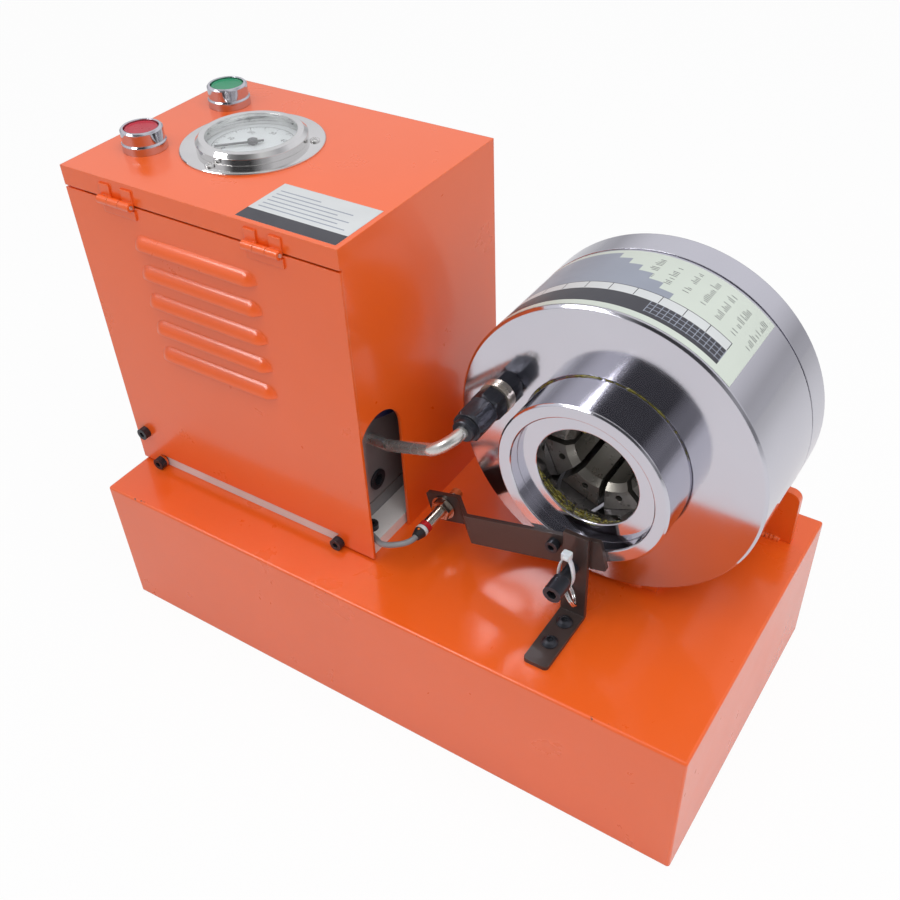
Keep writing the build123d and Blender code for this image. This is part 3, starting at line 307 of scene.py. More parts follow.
def orange_paint():
    """Glossy sprayed orange over sheet steel: orange peel, a painted highlight that makes sharp edges a little
    paler, and small chips to bare dark steel along the base's front edge."""
    tree, shader = blank("orange_paint")
    chip_full, chip_none = 0.0012, 0.0034
    _, y, z = put(tree, "SeparateXYZ", (object_place(tree),)).outputs
    off_y = maths(tree, "ABSOLUTE", maths(tree, "SUBTRACT", y, float(base_low[1] * MM)))
    off_z = maths(tree, "ABSOLUTE", maths(tree, "SUBTRACT", z, float(base_high[2] * MM)))
    near = ranged(tree, maths(tree, "ADD", off_y, off_z), chip_full, chip_none, 1.0, 0.0)
    bits = ranged(tree, noise(tree, 95.0, 4.0, 0.7), 0.66, 0.69, 0.0, 1.0)
    chips = maths(tree, "MULTIPLY", near, bits)
    colour = use(tree, TONE, Color=rgb(244, 99, 27), Scale=9.0, Amount=0.03)["Color"]
    # Sharp edges go towards a paler orange: a painted highlight.
    wear = use(tree, EDGE_WEAR_AND_HIGHLIGHT, Width=0.0012, Amount=0.35, Scale=260.0)["Mask"]
    colour = mixed(tree, wear, colour, rgb(255, 150, 90))
    colour = mixed(tree, chips, colour, rgb(60, 40, 34))
    rough = use(tree, GLOSS, Low=0.27, High=0.31, Scale=22.0)["Roughness"]
    peel = use(tree, RELIEF, Scale=330.0, Strength=0.012, Depth=0.0004, Normal=bevel(tree, 0.0009, 6))
    dent = bump(tree, maths(tree, "SUBTRACT", 1.0, chips), 0.35, 0.0003, peel["Normal"])
    feed(tree, shader, colour, rough, dent, Coat_Weight=0.5, Coat_Roughness=0.12)


def chrome_plate():
    """Hard chrome on turned steel: nearly a mirror, with faint rings and a hazy film."""
    tree, shader = blank("chrome_plate")
    marks = use(tree, MARKS, Centre=HEAD_AXIS, Pitch=0.00035, Strength=0.018, Normal=bevel(tree, 0.0008, 6))
    smear = use(tree, GLOSS, Low=0.055, High=0.13, Scale=14.0)["Roughness"]
    rough = maths(tree, "ADD", smear, maths(tree, "MULTIPLY", marks["Mask"], 0.02))
    colour = use(tree, TONE, Color=rgb(208, 207, 215), Scale=11.0, Amount=0.03)["Color"]
    drawn_out = vector_maths(tree, "MULTIPLY", object_place(tree), (9, 60, 9))
    scratch = ranged(tree, noise(tree, 6.0, 8.0, 0.8, drawn_out), 0.70, 0.74, 0.0, 0.35)
    colour = mixed(tree, scratch, colour, rgb(170, 168, 176))
    feed(tree, shader, colour, rough, marks["Normal"], Metallic=1.0)


def strainer_mesh():
    """Woven wire gauze: two crossed wave patterns raise the wires and darken the holes with painted shade."""
    tree, shader = blank("strainer_mesh")
    waves = 4200.0
    x, y, z = put(tree, "SeparateXYZ", (object_place(tree),)).outputs
    turn = maths(tree, "SINE", maths(tree, "MULTIPLY", maths(tree, "ADD", x, y), waves))
    rise = maths(tree, "SINE", maths(tree, "MULTIPLY", z, waves))
    weave = maths(tree, "MULTIPLY", turn, rise)
    # The holes between the wires take a dark colour: painted shade.
    colour = mixed(tree, ranged(tree, weave, -0.6, 0.2, 1.0, 0.0), rgb(186, 180, 160), rgb(40, 38, 34))
    rough = use(tree, GLOSS, Low=0.3, High=0.5, Scale=60.0)["Roughness"]
    feed(tree, shader, colour, rough, bump(tree, weave, 0.8, 0.0004), Metallic=0.8)


def gauge_window():
    """Clear gauge window with a little dust and finger grease on it."""
    tree, shader = blank("gauge_window")
    rough = use(tree, GLOSS, Low=0.0, High=0.09, Scale=48.0)["Roughness"]
    normal = use(tree, RELIEF, Scale=60.0, Strength=0.05, Depth=0.0005)["Normal"]
    feed(tree, shader, None, rough, normal, Base_Color=(0.93, 0.95, 0.96, 1), Transmission_Weight=1.0,
         IOR=1.47)


orange_paint()
chrome_plate()
strainer_mesh()
gauge_window()
finish("white_paint", rgb(236, 236, 234), (0.28, 0.42, 30.0), grime=(0.15, 45.0), coat=0.2)
finish("navy_paint", rgb(24, 42, 84), (0.22, 0.38, 26.0), relief=(240.0, 0.12), coat=0.4,
       wear=(rgb(70, 84, 118), 0.0012, 0.5))
finish("machined_block", rgb(158, 158, 160), (0.30, 0.48, 40.0), metal=0.5, grime=(0.3, 70.0),
       wear=(rgb(176, 174, 172), 0.001, 0.7))
finish("tank_steel", rgb(96, 98, 102), (0.4, 0.6, 25.0), metal=0.6, grime=(0.5, 30.0))
finish("black_oxide", rgb(58, 60, 67), (0.26, 0.42, 120.0), metal=0.6, relief=(900.0, 0.12),
       wear=(rgb(128, 126, 124), 0.0006, 0.7), round_edges=0.0005)
finish("black_paint", rgb(62, 49, 46), (0.32, 0.46, 60.0), relief=(420.0, 0.16), coat=0.15,
       wear=(rgb(104, 88, 80), 0.0009, 0.6), round_edges=0.0007)
finish("bright_steel", rgb(216, 214, 210), (0.20, 0.32, 90.0), metal=0.78, tone=(60.0, 0.08),
       relief=(700.0, 0.05))
finish("spring_steel", rgb(92, 92, 98), (0.22, 0.34, 150.0), metal=0.9, grime=(0.3, 120.0))
finish("seal_metal", rgb(216, 208, 194), (0.24, 0.36, 200.0), metal=0.8, round_edges=0.0006)
finish("seal_rubber", rgb(30, 30, 31), (0.5, 0.65, 90.0), relief=(700.0, 0.1))
finish("stainless", rgb(222, 221, 220), (0.04, 0.10, 60.0), metal=1.0, relief=(500.0, 0.02),
       round_edges=0.0006)
finish("dial_card", rgb(236, 238, 238), (0.45, 0.55, 80.0), tone=(40.0, 0.05), relief=(900.0, 0.03))
finish("pointer_black", rgb(28, 28, 30), (0.35, 0.45, 200.0))
finish("red_cap", rgb(190, 36, 58), (0.26, 0.36, 90.0), tone=(120.0, 0.05), relief=(600.0, 0.07),
       Subsurface_Weight=0.08)
finish("green_cap", rgb(28, 142, 98), (0.26, 0.36, 90.0), tone=(120.0, 0.05), relief=(600.0, 0.07),
       Subsurface_Weight=0.08)
finish("black_plastic", rgb(32, 31, 34), (0.34, 0.46, 90.0), relief=(1100.0, 0.12))
finish("tie_nylon", rgb(238, 238, 240), (0.32, 0.42, 160.0), relief=(1500.0, 0.05), Subsurface_Weight=0.25)
finish("nickel_plate", rgb(206, 196, 186), (0.14, 0.26, 160.0), metal=1.0, tone=(160.0, 0.08),
       round_edges=0.0003)
finish("cable_sheath", rgb(134, 134, 136), (0.38, 0.5, 120.0), relief=(900.0, 0.1))
finish("jaw_steel", rgb(142, 138, 130), (0.22, 0.42, 90.0), metal=0.7, grime=(0.5, 130.0),
       wear=(rgb(150, 148, 144), 0.0008, 0.8), turned=(HEAD_AXIS, 0.0007, 0.06))
finish("label_green", rgb(206, 214, 204), (0.30, 0.42, 60.0), tone=(14.0, 0.04), coat=0.15)
finish("label_black", rgb(50, 50, 58), (0.30, 0.42, 60.0), coat=0.15)
finish("label_white", rgb(212, 215, 216), (0.30, 0.42, 60.0), coat=0.15)
finish("label_blue", rgb(146, 152, 166), (0.30, 0.42, 60.0), coat=0.15)
finish("band_red", rgb(184, 34, 40), (0.2, 0.3, 120.0), coat=0.3)
finish("tip_orange", rgb(204, 104, 56), (0.32, 0.42, 160.0), relief=(900.0, 0.06))
finish("lamp_amber", rgb(230, 120, 40), (0.12, 0.2, 100.0), coat=0.5)
finish("grease", rgb(128, 118, 46), (0.12, 0.3, 240.0), tone=(420.0, 0.35), relief=(900.0, 0.5), coat=0.6,
       Subsurface_Weight=0.15)
finish("print_black", rgb(40, 40, 44), (0.4, 0.5, 90.0))

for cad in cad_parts.values():
    for holder in cad.material_slots:
        holder.material = FINISHES[holder.material.name.split(".")[0]]


# ---------------------------------------------------------------- surfaces
def stand(name, data):
    """Object for a mesh, text, curve, lamp or camera, linked into the scene."""
    holder = bpy.data.objects.new(name, data)
    bpy.context.scene.collection.objects.link(holder)
    return holder


def keep(name, points, faces, look, body, slot=None, smooth=True, sharp=38.0, shades=None):
    """Mesh piece from points in millimetres, in one finish, or in several that shades choose from face by
    face. The slot argument is not used. Faces turn outwards by the sign of the volume
    they enclose."""
    points = np.asarray(points, float).reshape(-1, 3)
    corner = points[np.array([f[:3] for f in faces])]
    cross = np.cross(corner[:, 1] - corner[:, 0], corner[:, 2] - corner[:, 0])
    if np.einsum("ij,ij->i", corner[:, 0] - points.mean(0), cross).sum() < 0:
        faces = [f[::-1] for f in faces]
    mesh = bpy.data.meshes.new(name)
    mesh.from_pydata((points * MM).tolist(), [], faces)
    for label in [look] if isinstance(look, str) else look:
        mesh.materials.append(FINISHES[label])
    mesh.polygons.foreach_set("use_smooth", np.full(len(mesh.polygons), smooth))
    if shades is not None:
        mesh.polygons.foreach_set("material_index", np.asarray(shades, np.int32).ravel())
    if smooth:
        mesh.set_sharp_from_angle(angle=math.radians(sharp))
    mesh.validate()
    piece = stand(name, mesh)
    if body:
        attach(piece, body)
    slot = slot or look
    return piece


def quads(rows, columns, wrap_rows=False, wrap_columns=False, start=0):
    """Corner numbers of the faces of a grid of points, row by row."""
    i = np.arange(rows if wrap_rows else rows - 1)[:, None]
    j = np.arange(columns if wrap_columns else columns - 1)[None, :]
    i2, j2 = (i + 1) % rows, (j + 1) % columns
    corners = [i * columns + j, i * columns + j2, i2 * columns + j2, i2 * columns + j]
    return (start + np.stack(corners, -1)).reshape(-1, 4).tolist()


def capped(points, start=0):
    """Faces of a tube of points (rows, columns, 3) whose rows are closed rings, with both ends closed."""
    rows, columns = points.shape[:2]
    first = list(range(start, start + columns))
    last = list(range(start + (rows - 1) * columns, start + rows * columns))
    return quads(rows, columns, False, True, start) + [first[::-1], last]


def several(tubes, loops=()):
    """Points and faces of capped tubes, and of tubes whose last ring meets the first, put into one piece."""
    points, faces, start = [], [], 0
    for part, looped in [(t, False) for t in tubes] + [(t, True) for t in loops]:
        rows, columns = part.shape[:2]
        faces += quads(rows, columns, True, True, start) if looped else capped(part, start)
        points.append(part.reshape(-1, 3))
        start += rows * columns
    return np.concatenate(points), faces


def along(line, radius, sides=12, reference=(0, 0, 1)):
    """Tube about a line: each ring is centre + radius (cos a N + sin a B), where N and B stand square to the
    line's direction and N is square to a reference direction."""
    line = np.asarray(line, float)
    ahead = np.gradient(line, axis=0)
    ahead /= np.linalg.norm(ahead, axis=1)[:, None]
    side = np.cross(ahead, np.array(reference, float))
    side /= np.linalg.norm(side, axis=1)[:, None]
    up = np.cross(side, ahead)
    a = np.linspace(0, TURN, sides, endpoint=False)
    ring = np.cos(a)[None, :, None] * side[:, None] + np.sin(a)[None, :, None] * up[:, None]
    return line[:, None] + np.broadcast_to(radius, len(line))[:, None, None] * ring


def lathe(profile, centre, axis="y", sides=64):
    """Rings of a turned solid: each (radius, height) of the profile is carried round an axis through centre,
    along Y or Z."""
    profile = np.asarray(profile, float)
    a = np.linspace(0, TURN, sides, endpoint=False)
    across = profile[:, 0, None] * np.cos(a), profile[:, 0, None] * np.sin(a)
    height = np.broadcast_to(profile[:, 1, None], across[0].shape)
    order = (across[0], height, across[1]) if axis == "y" else (across[0], across[1], height)
    return np.stack(order, -1) + np.array(centre, float)


# ---------------------------------------------------------------- cord: the sensor's cable
CABLE_POINTS = ((13.44, -64.2, 136.99), (13.44, -71.2, 136.99), (-6.0, -76.0, 129.0), (-17.0, -69.0, 124.5),
                (-31.0, -63.0, 123.0), (-50.0, -62.0, 122.5), (-84.0, -63.5, 122.0), (-124.0, -62.0, 122.5),
                (-156.0, -50.0, 124.0), (-176.0, -24.0, 130.0), (-185.0, 8.0, 146.0), (-186.0, 34.0, 166.0),
                (-186.0, 45.0, 186.0), (-186.0, 45.0, 190.0))


def smooth_route(points):
    """Points along the NURBS spline whose control points are given, in millimetres."""
    curve = bpy.data.curves.new("route", "CURVE")
    curve.dimensions = "3D"
    spline = curve.splines.new("NURBS")
    spline.points.add(len(points) - 1)
    weighted = np.column_stack([np.array(points) * MM, np.ones(len(points))])
    spline.points.foreach_set("co", weighted.ravel())
    spline.order_u = 3
    spline.use_endpoint_u = True
    spline.resolution_u = 16
    holder = stand("route", curve)
    bpy.context.view_layer.update()
    mesh = bpy.data.meshes.new_from_object(holder)
    found = np.empty(len(mesh.vertices) * 3)
    mesh.vertices.foreach_get("co", found)
    bpy.data.objects.remove(holder)
    bpy.data.curves.remove(curve)
    bpy.data.meshes.remove(mesh)
    return found.reshape(-1, 3) / MM


def make_cable():
    """Round sheath carried along the route, between the cabinet's arch and the sensor."""
    route = smooth_route(CABLE_POINTS)
    rings = along(route, CABLE_RADIUS, 16, (1, -1, 1))
    piece = keep("sensor_cable_run", rings, capped(rings), "cable_sheath", None)
    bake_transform(piece)
    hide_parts("sensor_cable")


make_cable()


# ---------------------------------------------------------------- springs
def make_return_springs():
    """Coil: P = centre + (R + w cos b)(cos a, sin a) across and h(a) + w sin b along, where the first and last
    turns lie closed and the rest rise evenly."""
    low, high = span("return_springs")
    wire, outer, turns, count = 0.8, 6.0, 11.0, 6
    closed = 2.1 * wire
    a = np.linspace(0, turns * TURN, int(turns * 20) + 1)[:, None]
    b = np.linspace(0, TURN, 8, endpoint=False)[None, :]
    free = (high[1] - low[1]) - 2 * wire
    climb = np.interp(a, [0, TURN, (turns - 1) * TURN, turns * TURN], [0, closed, free - closed, free])
    height = climb + low[1] + wire
    radius = outer - wire + wire * np.cos(b)
    circle = (high[0] - low[0]) / 2 - outer
    coils = []
    for k in range(count):
        spoke = TURN * k / count
        x, z = HEAD_X + circle * math.cos(spoke), HEAD_Z + circle * math.sin(spoke)
        rise = height + wire * np.sin(b)
        coils.append(np.stack([x + radius * np.cos(a), rise, z + radius * np.sin(a)], -1))
    points, faces = several(coils)
    piece = keep("return_spring_coils", points, faces, "spring_steel", "frame")
    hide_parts("return_springs")
    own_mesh(piece)


make_return_springs()


# ---------------------------------------------------------------- sensor
def make_sensor():
    """Threaded barrel r = root + depth * triangle wave of (turns along - angle), with its bands, tip and
    lamp."""
    low, high = span("sensor_barrel")
    x, _, z = (low + high) / 2
    r = (high[0] - low[0]) / 2
    tip, back = high[1], low[1]
    pitch, depth, plain = 1.0, 0.42, 5.0
    run = np.linspace(tip - plain, back, int((tip - plain - back) * 7))[:, None]
    a = np.linspace(0, TURN, 28, endpoint=False)[None, :]
    phase = np.mod(run / pitch - a / TURN, 1.0)
    radius = r - depth * np.abs(2 * phase - 1)
    thread = np.stack([x + radius * np.cos(a), run + 0 * a, z + radius * np.sin(a)], -1)
    face = lathe([(0.4, tip), (r - 0.5, tip), (r, tip - 0.5), (r, tip - plain)], (x, 0, z), sides=28)
    points, faces = several([thread, face])
    piece = keep("sensor_thread", points, faces, "nickel_plate", "piston")
    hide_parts("sensor_barrel")

    chamfer, sides = 0.12, 48
    for name, look, y0, y1, slot, over in (
            ("sensor_tip_cap", "tip_orange", tip - 5.5, tip - 0.2, "nickel_plate", 0.06),
            ("sensor_red_band", "band_red", back - 3.2, back + 0.9, "black_plastic", 0.42),
            ("sensor_label_band", "label_white", back - 6.4, back - 3.5, "black_plastic", 0.36)):
        inner, outer = r - 0.3, r + over
        loop = [(inner, y0), (outer - chamfer, y0), (outer, y0 + chamfer), (outer, y1 - chamfer),
                (outer - chamfer, y1), (inner, y1)]
        points, faces = several([], [lathe(loop, (x, 0, z), sides=sides)])
        keep(name, points, faces, look, "piston", slot)

    lamp_y, lamp_radius = back - 8.0, 0.9
    a = np.linspace(0, TURN, 16, endpoint=False)
    rise = np.linspace(0, math.pi / 2, 6)[:, None]
    spot = np.stack([x + lamp_radius * np.cos(rise) * np.cos(a),
                     lamp_y + lamp_radius * np.cos(rise) * np.sin(a),
                     z + r + 0.1 + 0.45 * np.sin(rise) + 0 * a], -1)
    spot[-1] = spot[-1].mean(0) + (spot[-2] - spot[-2].mean(0)) * 0.1
    keep("sensor_lamp", spot, capped(spot), "lamp_amber", "piston", "black_plastic")


make_sensor()


# ---------------------------------------------------------------- pipe nuts with chamfered corners
def hex_rings(stations, centre, sides=72, twist=0.0):
    """Hexagon bar whose corners are cut by cones: r = min(flat / cos(angle from the flat's middle), limit(h)),
    where each station is a height along the bar and the limit there."""
    a = np.linspace(0, TURN, sides, endpoint=False)[None, :]
    stations = np.asarray(stations, float)
    flat = NUT_ACROSS / 2 / np.cos(np.mod(a + twist, TURN / 6) - TURN / 12)
    radius = np.minimum(flat, stations[:, 1, None])
    height = np.broadcast_to(stations[:, 0, None], radius.shape)
    return np.stack([radius * np.cos(a), height, radius * np.sin(a)], -1) + np.array(centre, float)


def make_pipe_nuts():
    """Hexagons with chamfered ends and a round collar, in place of the plain prisms of the union."""
    low, high = span("union_nut")
    x, _, z = (low + high) / 2
    half, corner = NUT_ACROSS / 2, NUT_ACROSS / 2 / math.cos(TURN / 12)
    bore, collar = 4.1, 7.4
    front, back = high[1] - 19.0, high[1]
    nut = hex_rings([(back, 8.6), (back, half), (back - 1.4, corner), (front + 1.8, corner),
                     (front, half - 0.2), (front, collar), (low[1] + 0.8, collar), (low[1], 6.7),
                     (low[1], bore)], (x, 0, z))
    piece = keep("union_nut_turned", nut, capped(nut), "black_oxide", "frame", sharp=24)
    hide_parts("union_nut")
    low, high = span("head_adapter")
    start, neck = span("seal_washer")[0][1], 6.4
    body = hex_rings([(high[1], bore), (high[1], neck), (start, neck), (start, half - 0.3),
                      (start - 1.2, corner), (start - 10.6, corner), (start - 12.0, half - 0.2),
                      (start - 12.0, neck), (low[1], neck), (low[1], bore)], (x, 0, z), twist=0.35)
    piece = keep("head_adapter_turned", body, capped(body), "black_oxide", "frame", sharp=24)
    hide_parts("head_adapter")


make_pipe_nuts()


# ---------------------------------------------------------------- buttons and gauge
def make_knurls():
    """Knurled ring: r = r0 + depth * |sin(n a + k h)| * |sin(n a - k h)|, a diamond pattern round the bezel's
    foot."""
    sides, teeth, slant, depth = 288, 36, 2.2, 0.33
    foot, head = 0.35, 4.8
    outer, inner = BUTTON_BEZEL_RADIUS - 0.35, BUTTON_BEZEL_RADIUS - 1.2
    a = np.linspace(0, TURN, sides, endpoint=False)[None, :]
    h = np.linspace(foot, head, 15)[:, None]
    fade = np.minimum(1, np.minimum(h - foot, head - h) / 0.4)
    pattern = np.abs(np.sin(teeth * a + slant * h) * np.sin(teeth * a - slant * h))
    radius = outer + depth * fade * pattern + 0.02
    rings = []
    for button in ("stop_button", "start_button"):
        low, high = span(button)
        x, y, _ = (low + high) / 2
        shell = np.stack([x + radius * np.cos(a), y + radius * np.sin(a), CAB_TOP + h + 0 * a], -1)
        wall = lathe([(inner, CAB_TOP + head), (inner, CAB_TOP + foot)], (x, y, 0), "z", sides)
        rings.append(np.concatenate([shell, wall]))
    points, faces = several([], rings)
    keep("button_knurls", points, faces, "chrome_plate", "frame", sharp=60)


def make_gauge_screws():
    """Domed head with a cross: z = dome(r) - depth * cross(x, y), on a polar grid closed underneath."""
    low, high = span("gauge_bezel")
    gx, gy, _ = (low + high) / 2
    radius, slot_half, slot_reach, slot_depth = 3.2, 0.34, 1.7, 0.75
    r = np.concatenate([np.linspace(0.05, radius - 0.2, 16), [radius - 0.08, radius, radius]])[:, None]
    a = np.linspace(0, TURN, 64, endpoint=False)[None, :]
    x, y = r * np.cos(a), r * np.sin(a)
    arm = np.minimum(np.abs(x), np.abs(y)) < slot_half
    reach = np.maximum(np.abs(x), np.abs(y)) < slot_reach
    dome = 1.75 * np.sqrt(np.clip(1 - (r / (radius + 0.35)) ** 2, 0, 1)) + 0 * a
    height = np.where(arm & reach, dome - slot_depth, dome)
    height[-1] = 0.0
    heads = []
    for k in range(3):
        place, turn = math.radians(-90 + 120 * k), 0.4 + 0.9 * k
        cx, cy = gx + GAUGE_SCREW_CIRCLE * math.cos(place), gy + GAUGE_SCREW_CIRCLE * math.sin(place)
        heads.append(np.stack([cx + x * math.cos(turn) - y * math.sin(turn),
                               cy + x * math.sin(turn) + y * math.cos(turn),
                               CAB_TOP + GAUGE_SHEET + height], -1))
    points, faces = several(heads)
    piece = keep("gauge_screw_heads", points, faces, "stainless", "frame", sharp=30)
    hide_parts("gauge_screws")


def bars(centre, inner, outer, width, angles, z, thick=0.05):
    """Thin straight marks that point at a centre: each a closed bar from inner to outer radius."""
    parts = []
    for angle in angles:
        way = np.array([math.cos(angle), math.sin(angle), 0.0])
        side = np.array([-way[1], way[0], 0.0]) * width / 2
        up = np.array([0, 0, thick])
        section = np.array([-side, side, side + up, -side + up])
        parts.append(np.array([np.array([*centre, z]) + way * d + section for d in (inner, outer)]))
    return parts


def make_dial():
    """Pressure scale on the card: a fine arc, ticks over three quarters of a turn, and plain numbers."""
    low, high = span("gauge_dial")
    gx, gy, _ = (low + high) / 2
    z = high[2] + 0.02
    first, sweep, majors = math.radians(225), math.radians(270), 6
    rim, arc_outer, number_radius, number_size = 26.4, 26.8, 19.0, 0.0048
    fine = [first - sweep * k / (majors * 10) for k in range(majors * 10 + 1) if k % 5]
    middle = [first - sweep * k / (majors * 2) for k in range(majors * 2 + 1)]
    parts = bars((gx, gy), 24.6, rim, 0.22, fine, z) + bars((gx, gy), 23.2, rim, 0.5, middle, z)
    a = np.linspace(first, first - sweep, 121)[:, None]
    arc = np.array([[rim, 0.0], [arc_outer, 0.0], [arc_outer, 0.05], [rim, 0.05]])
    reach = arc[:, 0]
    parts.append(np.stack([gx + reach * np.cos(a), gy + reach * np.sin(a), z + arc[:, 1] + 0 * a], -1))
    points, faces = several(parts)
    keep("dial_scale", points, faces, "print_black", "frame", "pointer_black", smooth=False)
    for k in range(majors + 1):
        angle = first - sweep * k / majors
        text = bpy.data.curves.new(f"dial_number_{k}", "FONT")
        text.body, text.size, text.extrude = str(10 * k), number_size, 0.00003
        text.align_x = text.align_y = "CENTER"
        holder = stand("holder", text)
        bpy.context.view_layer.update()
        mesh = bpy.data.meshes.new_from_object(holder)
        bpy.data.objects.remove(holder)
        mesh.transform(Matrix.Translation(((gx + number_radius * math.cos(angle)) * MM,
                                           (gy + number_radius * math.sin(angle)) * MM, (z + 0.03) * MM)))
        mesh.materials.clear()
        mesh.materials.append(FINISHES["print_black"])
        piece = stand(f"dial_number_{k}", mesh)
        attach(piece, "frame")


make_knurls()
make_gauge_screws()
make_dial()


# ---------------------------------------------------------------- tie and split ring on the hanging tool
def soft_block(centre, half):
    """Block with soft edges: P = centre + half * (c(v) c(u), c(v) s(u), s(v)), where c and s are cosine and
    sine raised to a power with their sign kept."""
    def soft(value, power=0.3):
        return np.sign(value) * np.abs(value) ** power

    v = np.linspace(-math.pi / 2 + 0.02, math.pi / 2 - 0.02, 14)[:, None]
    u = np.linspace(0, TURN, 24, endpoint=False)[None, :]
    unit = np.stack([soft(np.cos(v)) * soft(np.cos(u)), soft(np.cos(v)) * soft(np.sin(u)),
                     soft(np.sin(v)) + 0 * u], -1)
    return unit * np.array(half, float) + np.array(centre, float)


def make_hanging_trim():
    """Nylon strap drawn round the tool's neck, x = w sin t (1 - 0.2 cos t), z = m + h cos t, with its lock and
    cut tail, and a ring of two turns, P = centre + R (cos a u + sin a v) + n p a / (2 pi), that hangs in it."""
    low, high = span("zip_tie")
    x, y, _ = (low + high) / 2
    foot, lock = low[2], high[2]
    strap_reach, half_thick, half_wide, edge = 4.95, 0.5, 1.75, 0.15
    t = np.linspace(0, TURN, 97)[:-1]
    drop = (lock - 4.6 - foot) / 2
    line = np.stack([strap_reach * np.sin(t) * (1 - 0.2 * np.cos(t)), 0 * t,
                     foot + half_thick + drop + drop * np.cos(t)], -1)
    ahead = np.roll(line, -1, 0) - np.roll(line, 1, 0)
    ahead /= np.linalg.norm(ahead, axis=1)[:, None]
    outward = np.cross(ahead, (0, 1, 0))
    thin, narrow = half_thick - edge, half_wide - edge
    section = np.array([
        (-half_thick, -narrow), (-thin, -half_wide), (thin, -half_wide), (half_thick, -narrow),
        (half_thick, narrow), (thin, half_wide), (-thin, half_wide), (-half_thick, narrow)])
    wide = np.array((0, 1, 0)) * section[None, :, 1:]
    band = line[:, None] + outward[:, None] * section[None, :, :1] + wide
    blocks = [soft_block((x, y, lock - 2.9), (3.1, 2.5, 2.8)),
              soft_block((x + 1.0, y - 2.6, lock - 1.4), (1.7, 2.2, 0.6))]
    points, faces = several(blocks, [band + np.array((x, y, 0))])
    piece = keep("zip_tie_strap", points, faces, "tie_nylon", "frame", sharp=50)
    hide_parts("zip_tie")

    radius, wire, step = 8.2, 0.62, 1.3
    square = np.array((0.730, 0.545, 0.420))
    square /= np.linalg.norm(square)
    down = square * square[2] - np.array((0, 0, 1.0))
    down /= np.linalg.norm(down)
    across = np.cross(square, down)
    a = np.linspace(-math.pi - 0.25, math.pi * 3 + 0.25, 241)[:, None]
    centre = np.array((x, y - 1.0, foot + 2.3)) + down * radius
    route = centre + radius * (np.cos(a) * down + np.sin(a) * across) + square * (a / TURN - 0.5) * step
    ring = along(route, wire, 12, square)
    piece = keep("split_ring_turns", ring, capped(ring), "stainless", "frame", "bright_steel")
    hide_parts("split_ring")


make_hanging_trim()


# ---------------------------------------------------------------- labels
def printed_sheet(name, points, thick, looks, shades):
    """Thin closed sheet over a grid of points, facing up, whose top cells take their finish from a table of the
    same shape."""
    rows, columns = points.shape[:2]
    normal = np.cross(np.gradient(points, axis=0), np.gradient(points, axis=1))
    normal /= np.linalg.norm(normal, axis=2)[..., None]
    if normal[..., 2].sum() < 0:
        normal = -normal
    top = points + normal * thick
    count = rows * columns
    rim = np.concatenate([
        np.arange(columns), np.arange(1, rows) * columns + columns - 1,
        (rows - 1) * columns + np.arange(columns - 2, -1, -1), np.arange(rows - 2, 0, -1) * columns])
    after = np.roll(rim, -1)
    wall = np.stack([rim, after, after + count, rim + count], -1).tolist()
    over = quads(rows, columns, start=count)
    under = [f[::-1] for f in quads(rows, columns)]
    shades = np.concatenate([np.asarray(shades).ravel(), np.zeros(len(under) + len(wall), int)])
    both = np.concatenate([points.reshape(-1, 3), top.reshape(-1, 3)])
    keep(name, both, over + under + wall, looks, "frame", "dial_card", sharp=50, shades=shades)


def make_chart_label():
    """Chart wrapped round the head: P = axis + r (cos a, sin a) with rows along the axis. Its cells are shaded
    by rule: a dark band with pale boxes in front, a grey staircase behind it, and columns of short marks."""
    rng = np.random.default_rng(11)
    cell, line = 0.5, 0.5
    first, last = math.radians(48.0), math.radians(136.0)
    y0, y1 = FACE_Y + 2.6, FACE_Y + 69.4
    columns = int((last - first) * HEAD_R / cell)
    rows = int((y1 - y0) / cell)
    a = np.linspace(first, last, columns + 1)[None, :]
    y = np.linspace(y0, y1, rows + 1)[:, None]
    r = HEAD_R + 0.03
    points = np.stack([HEAD_X + r * np.cos(a) + 0 * y, y + 0 * a, HEAD_Z + r * np.sin(a) + 0 * y], -1)
    back = (np.arange(rows)[:, None] + 0.5) * cell
    across = (np.arange(columns)[None, :] + 0.5) * cell
    shade = np.zeros((rows, columns), int)
    dark, white, grey = 1, 2, 3

    margin, band_start, band_end, boxes_end = 13.0, 5.0, 19.0, 27.0
    inside = across > margin
    band = (back > band_start) & (back < band_end) & inside
    boxes = (back > band_end + line) & (back < boxes_end - line) & inside
    shade[band] = dark
    shade[boxes] = white
    box_pitch, grid_width, grid_height = 15.0, 3.75, 3.5
    shade[boxes & (np.mod(across - margin, box_pitch) < line)] = dark
    shade[(np.abs(back - band_end - line / 2) < 0.3) & inside] = white
    shade[(np.abs(back - boxes_end + line / 2) < 0.3) & inside] = dark
    ruled = (np.mod(across - margin, grid_width) < line) | (np.mod(back - band_start, grid_height) < line)
    shade[band & ruled & (back > 8.0) & (across < 62.0)] = grey

    stair_start, tread, riser = 46.0, 9.0, 6.0
    stair = boxes_end + riser * np.clip(np.floor((across - stair_start) / tread), 0, 6)
    shade[(back > boxes_end) & (back < stair) & (across > stair_start)] = grey
    for k in range(7):
        left = 3.0 + 11.5 * k
        marks = rng.random(rows) < 0.7
        length = rng.uniform(2.0, 5.5, rows)[:, None]
        row_on = (np.arange(rows) % 3 == 1) & marks & (back[:, 0] > 32.0 + 1.5 * k) & (back[:, 0] < 62.0)
        shade[row_on[:, None] & (across > left) & (across < left + length) & (shade == 0)] = dark
    printed_sheet("chart_label", points, 0.08, ("label_green", "label_black", "label_white", "label_blue"),
                  shade)


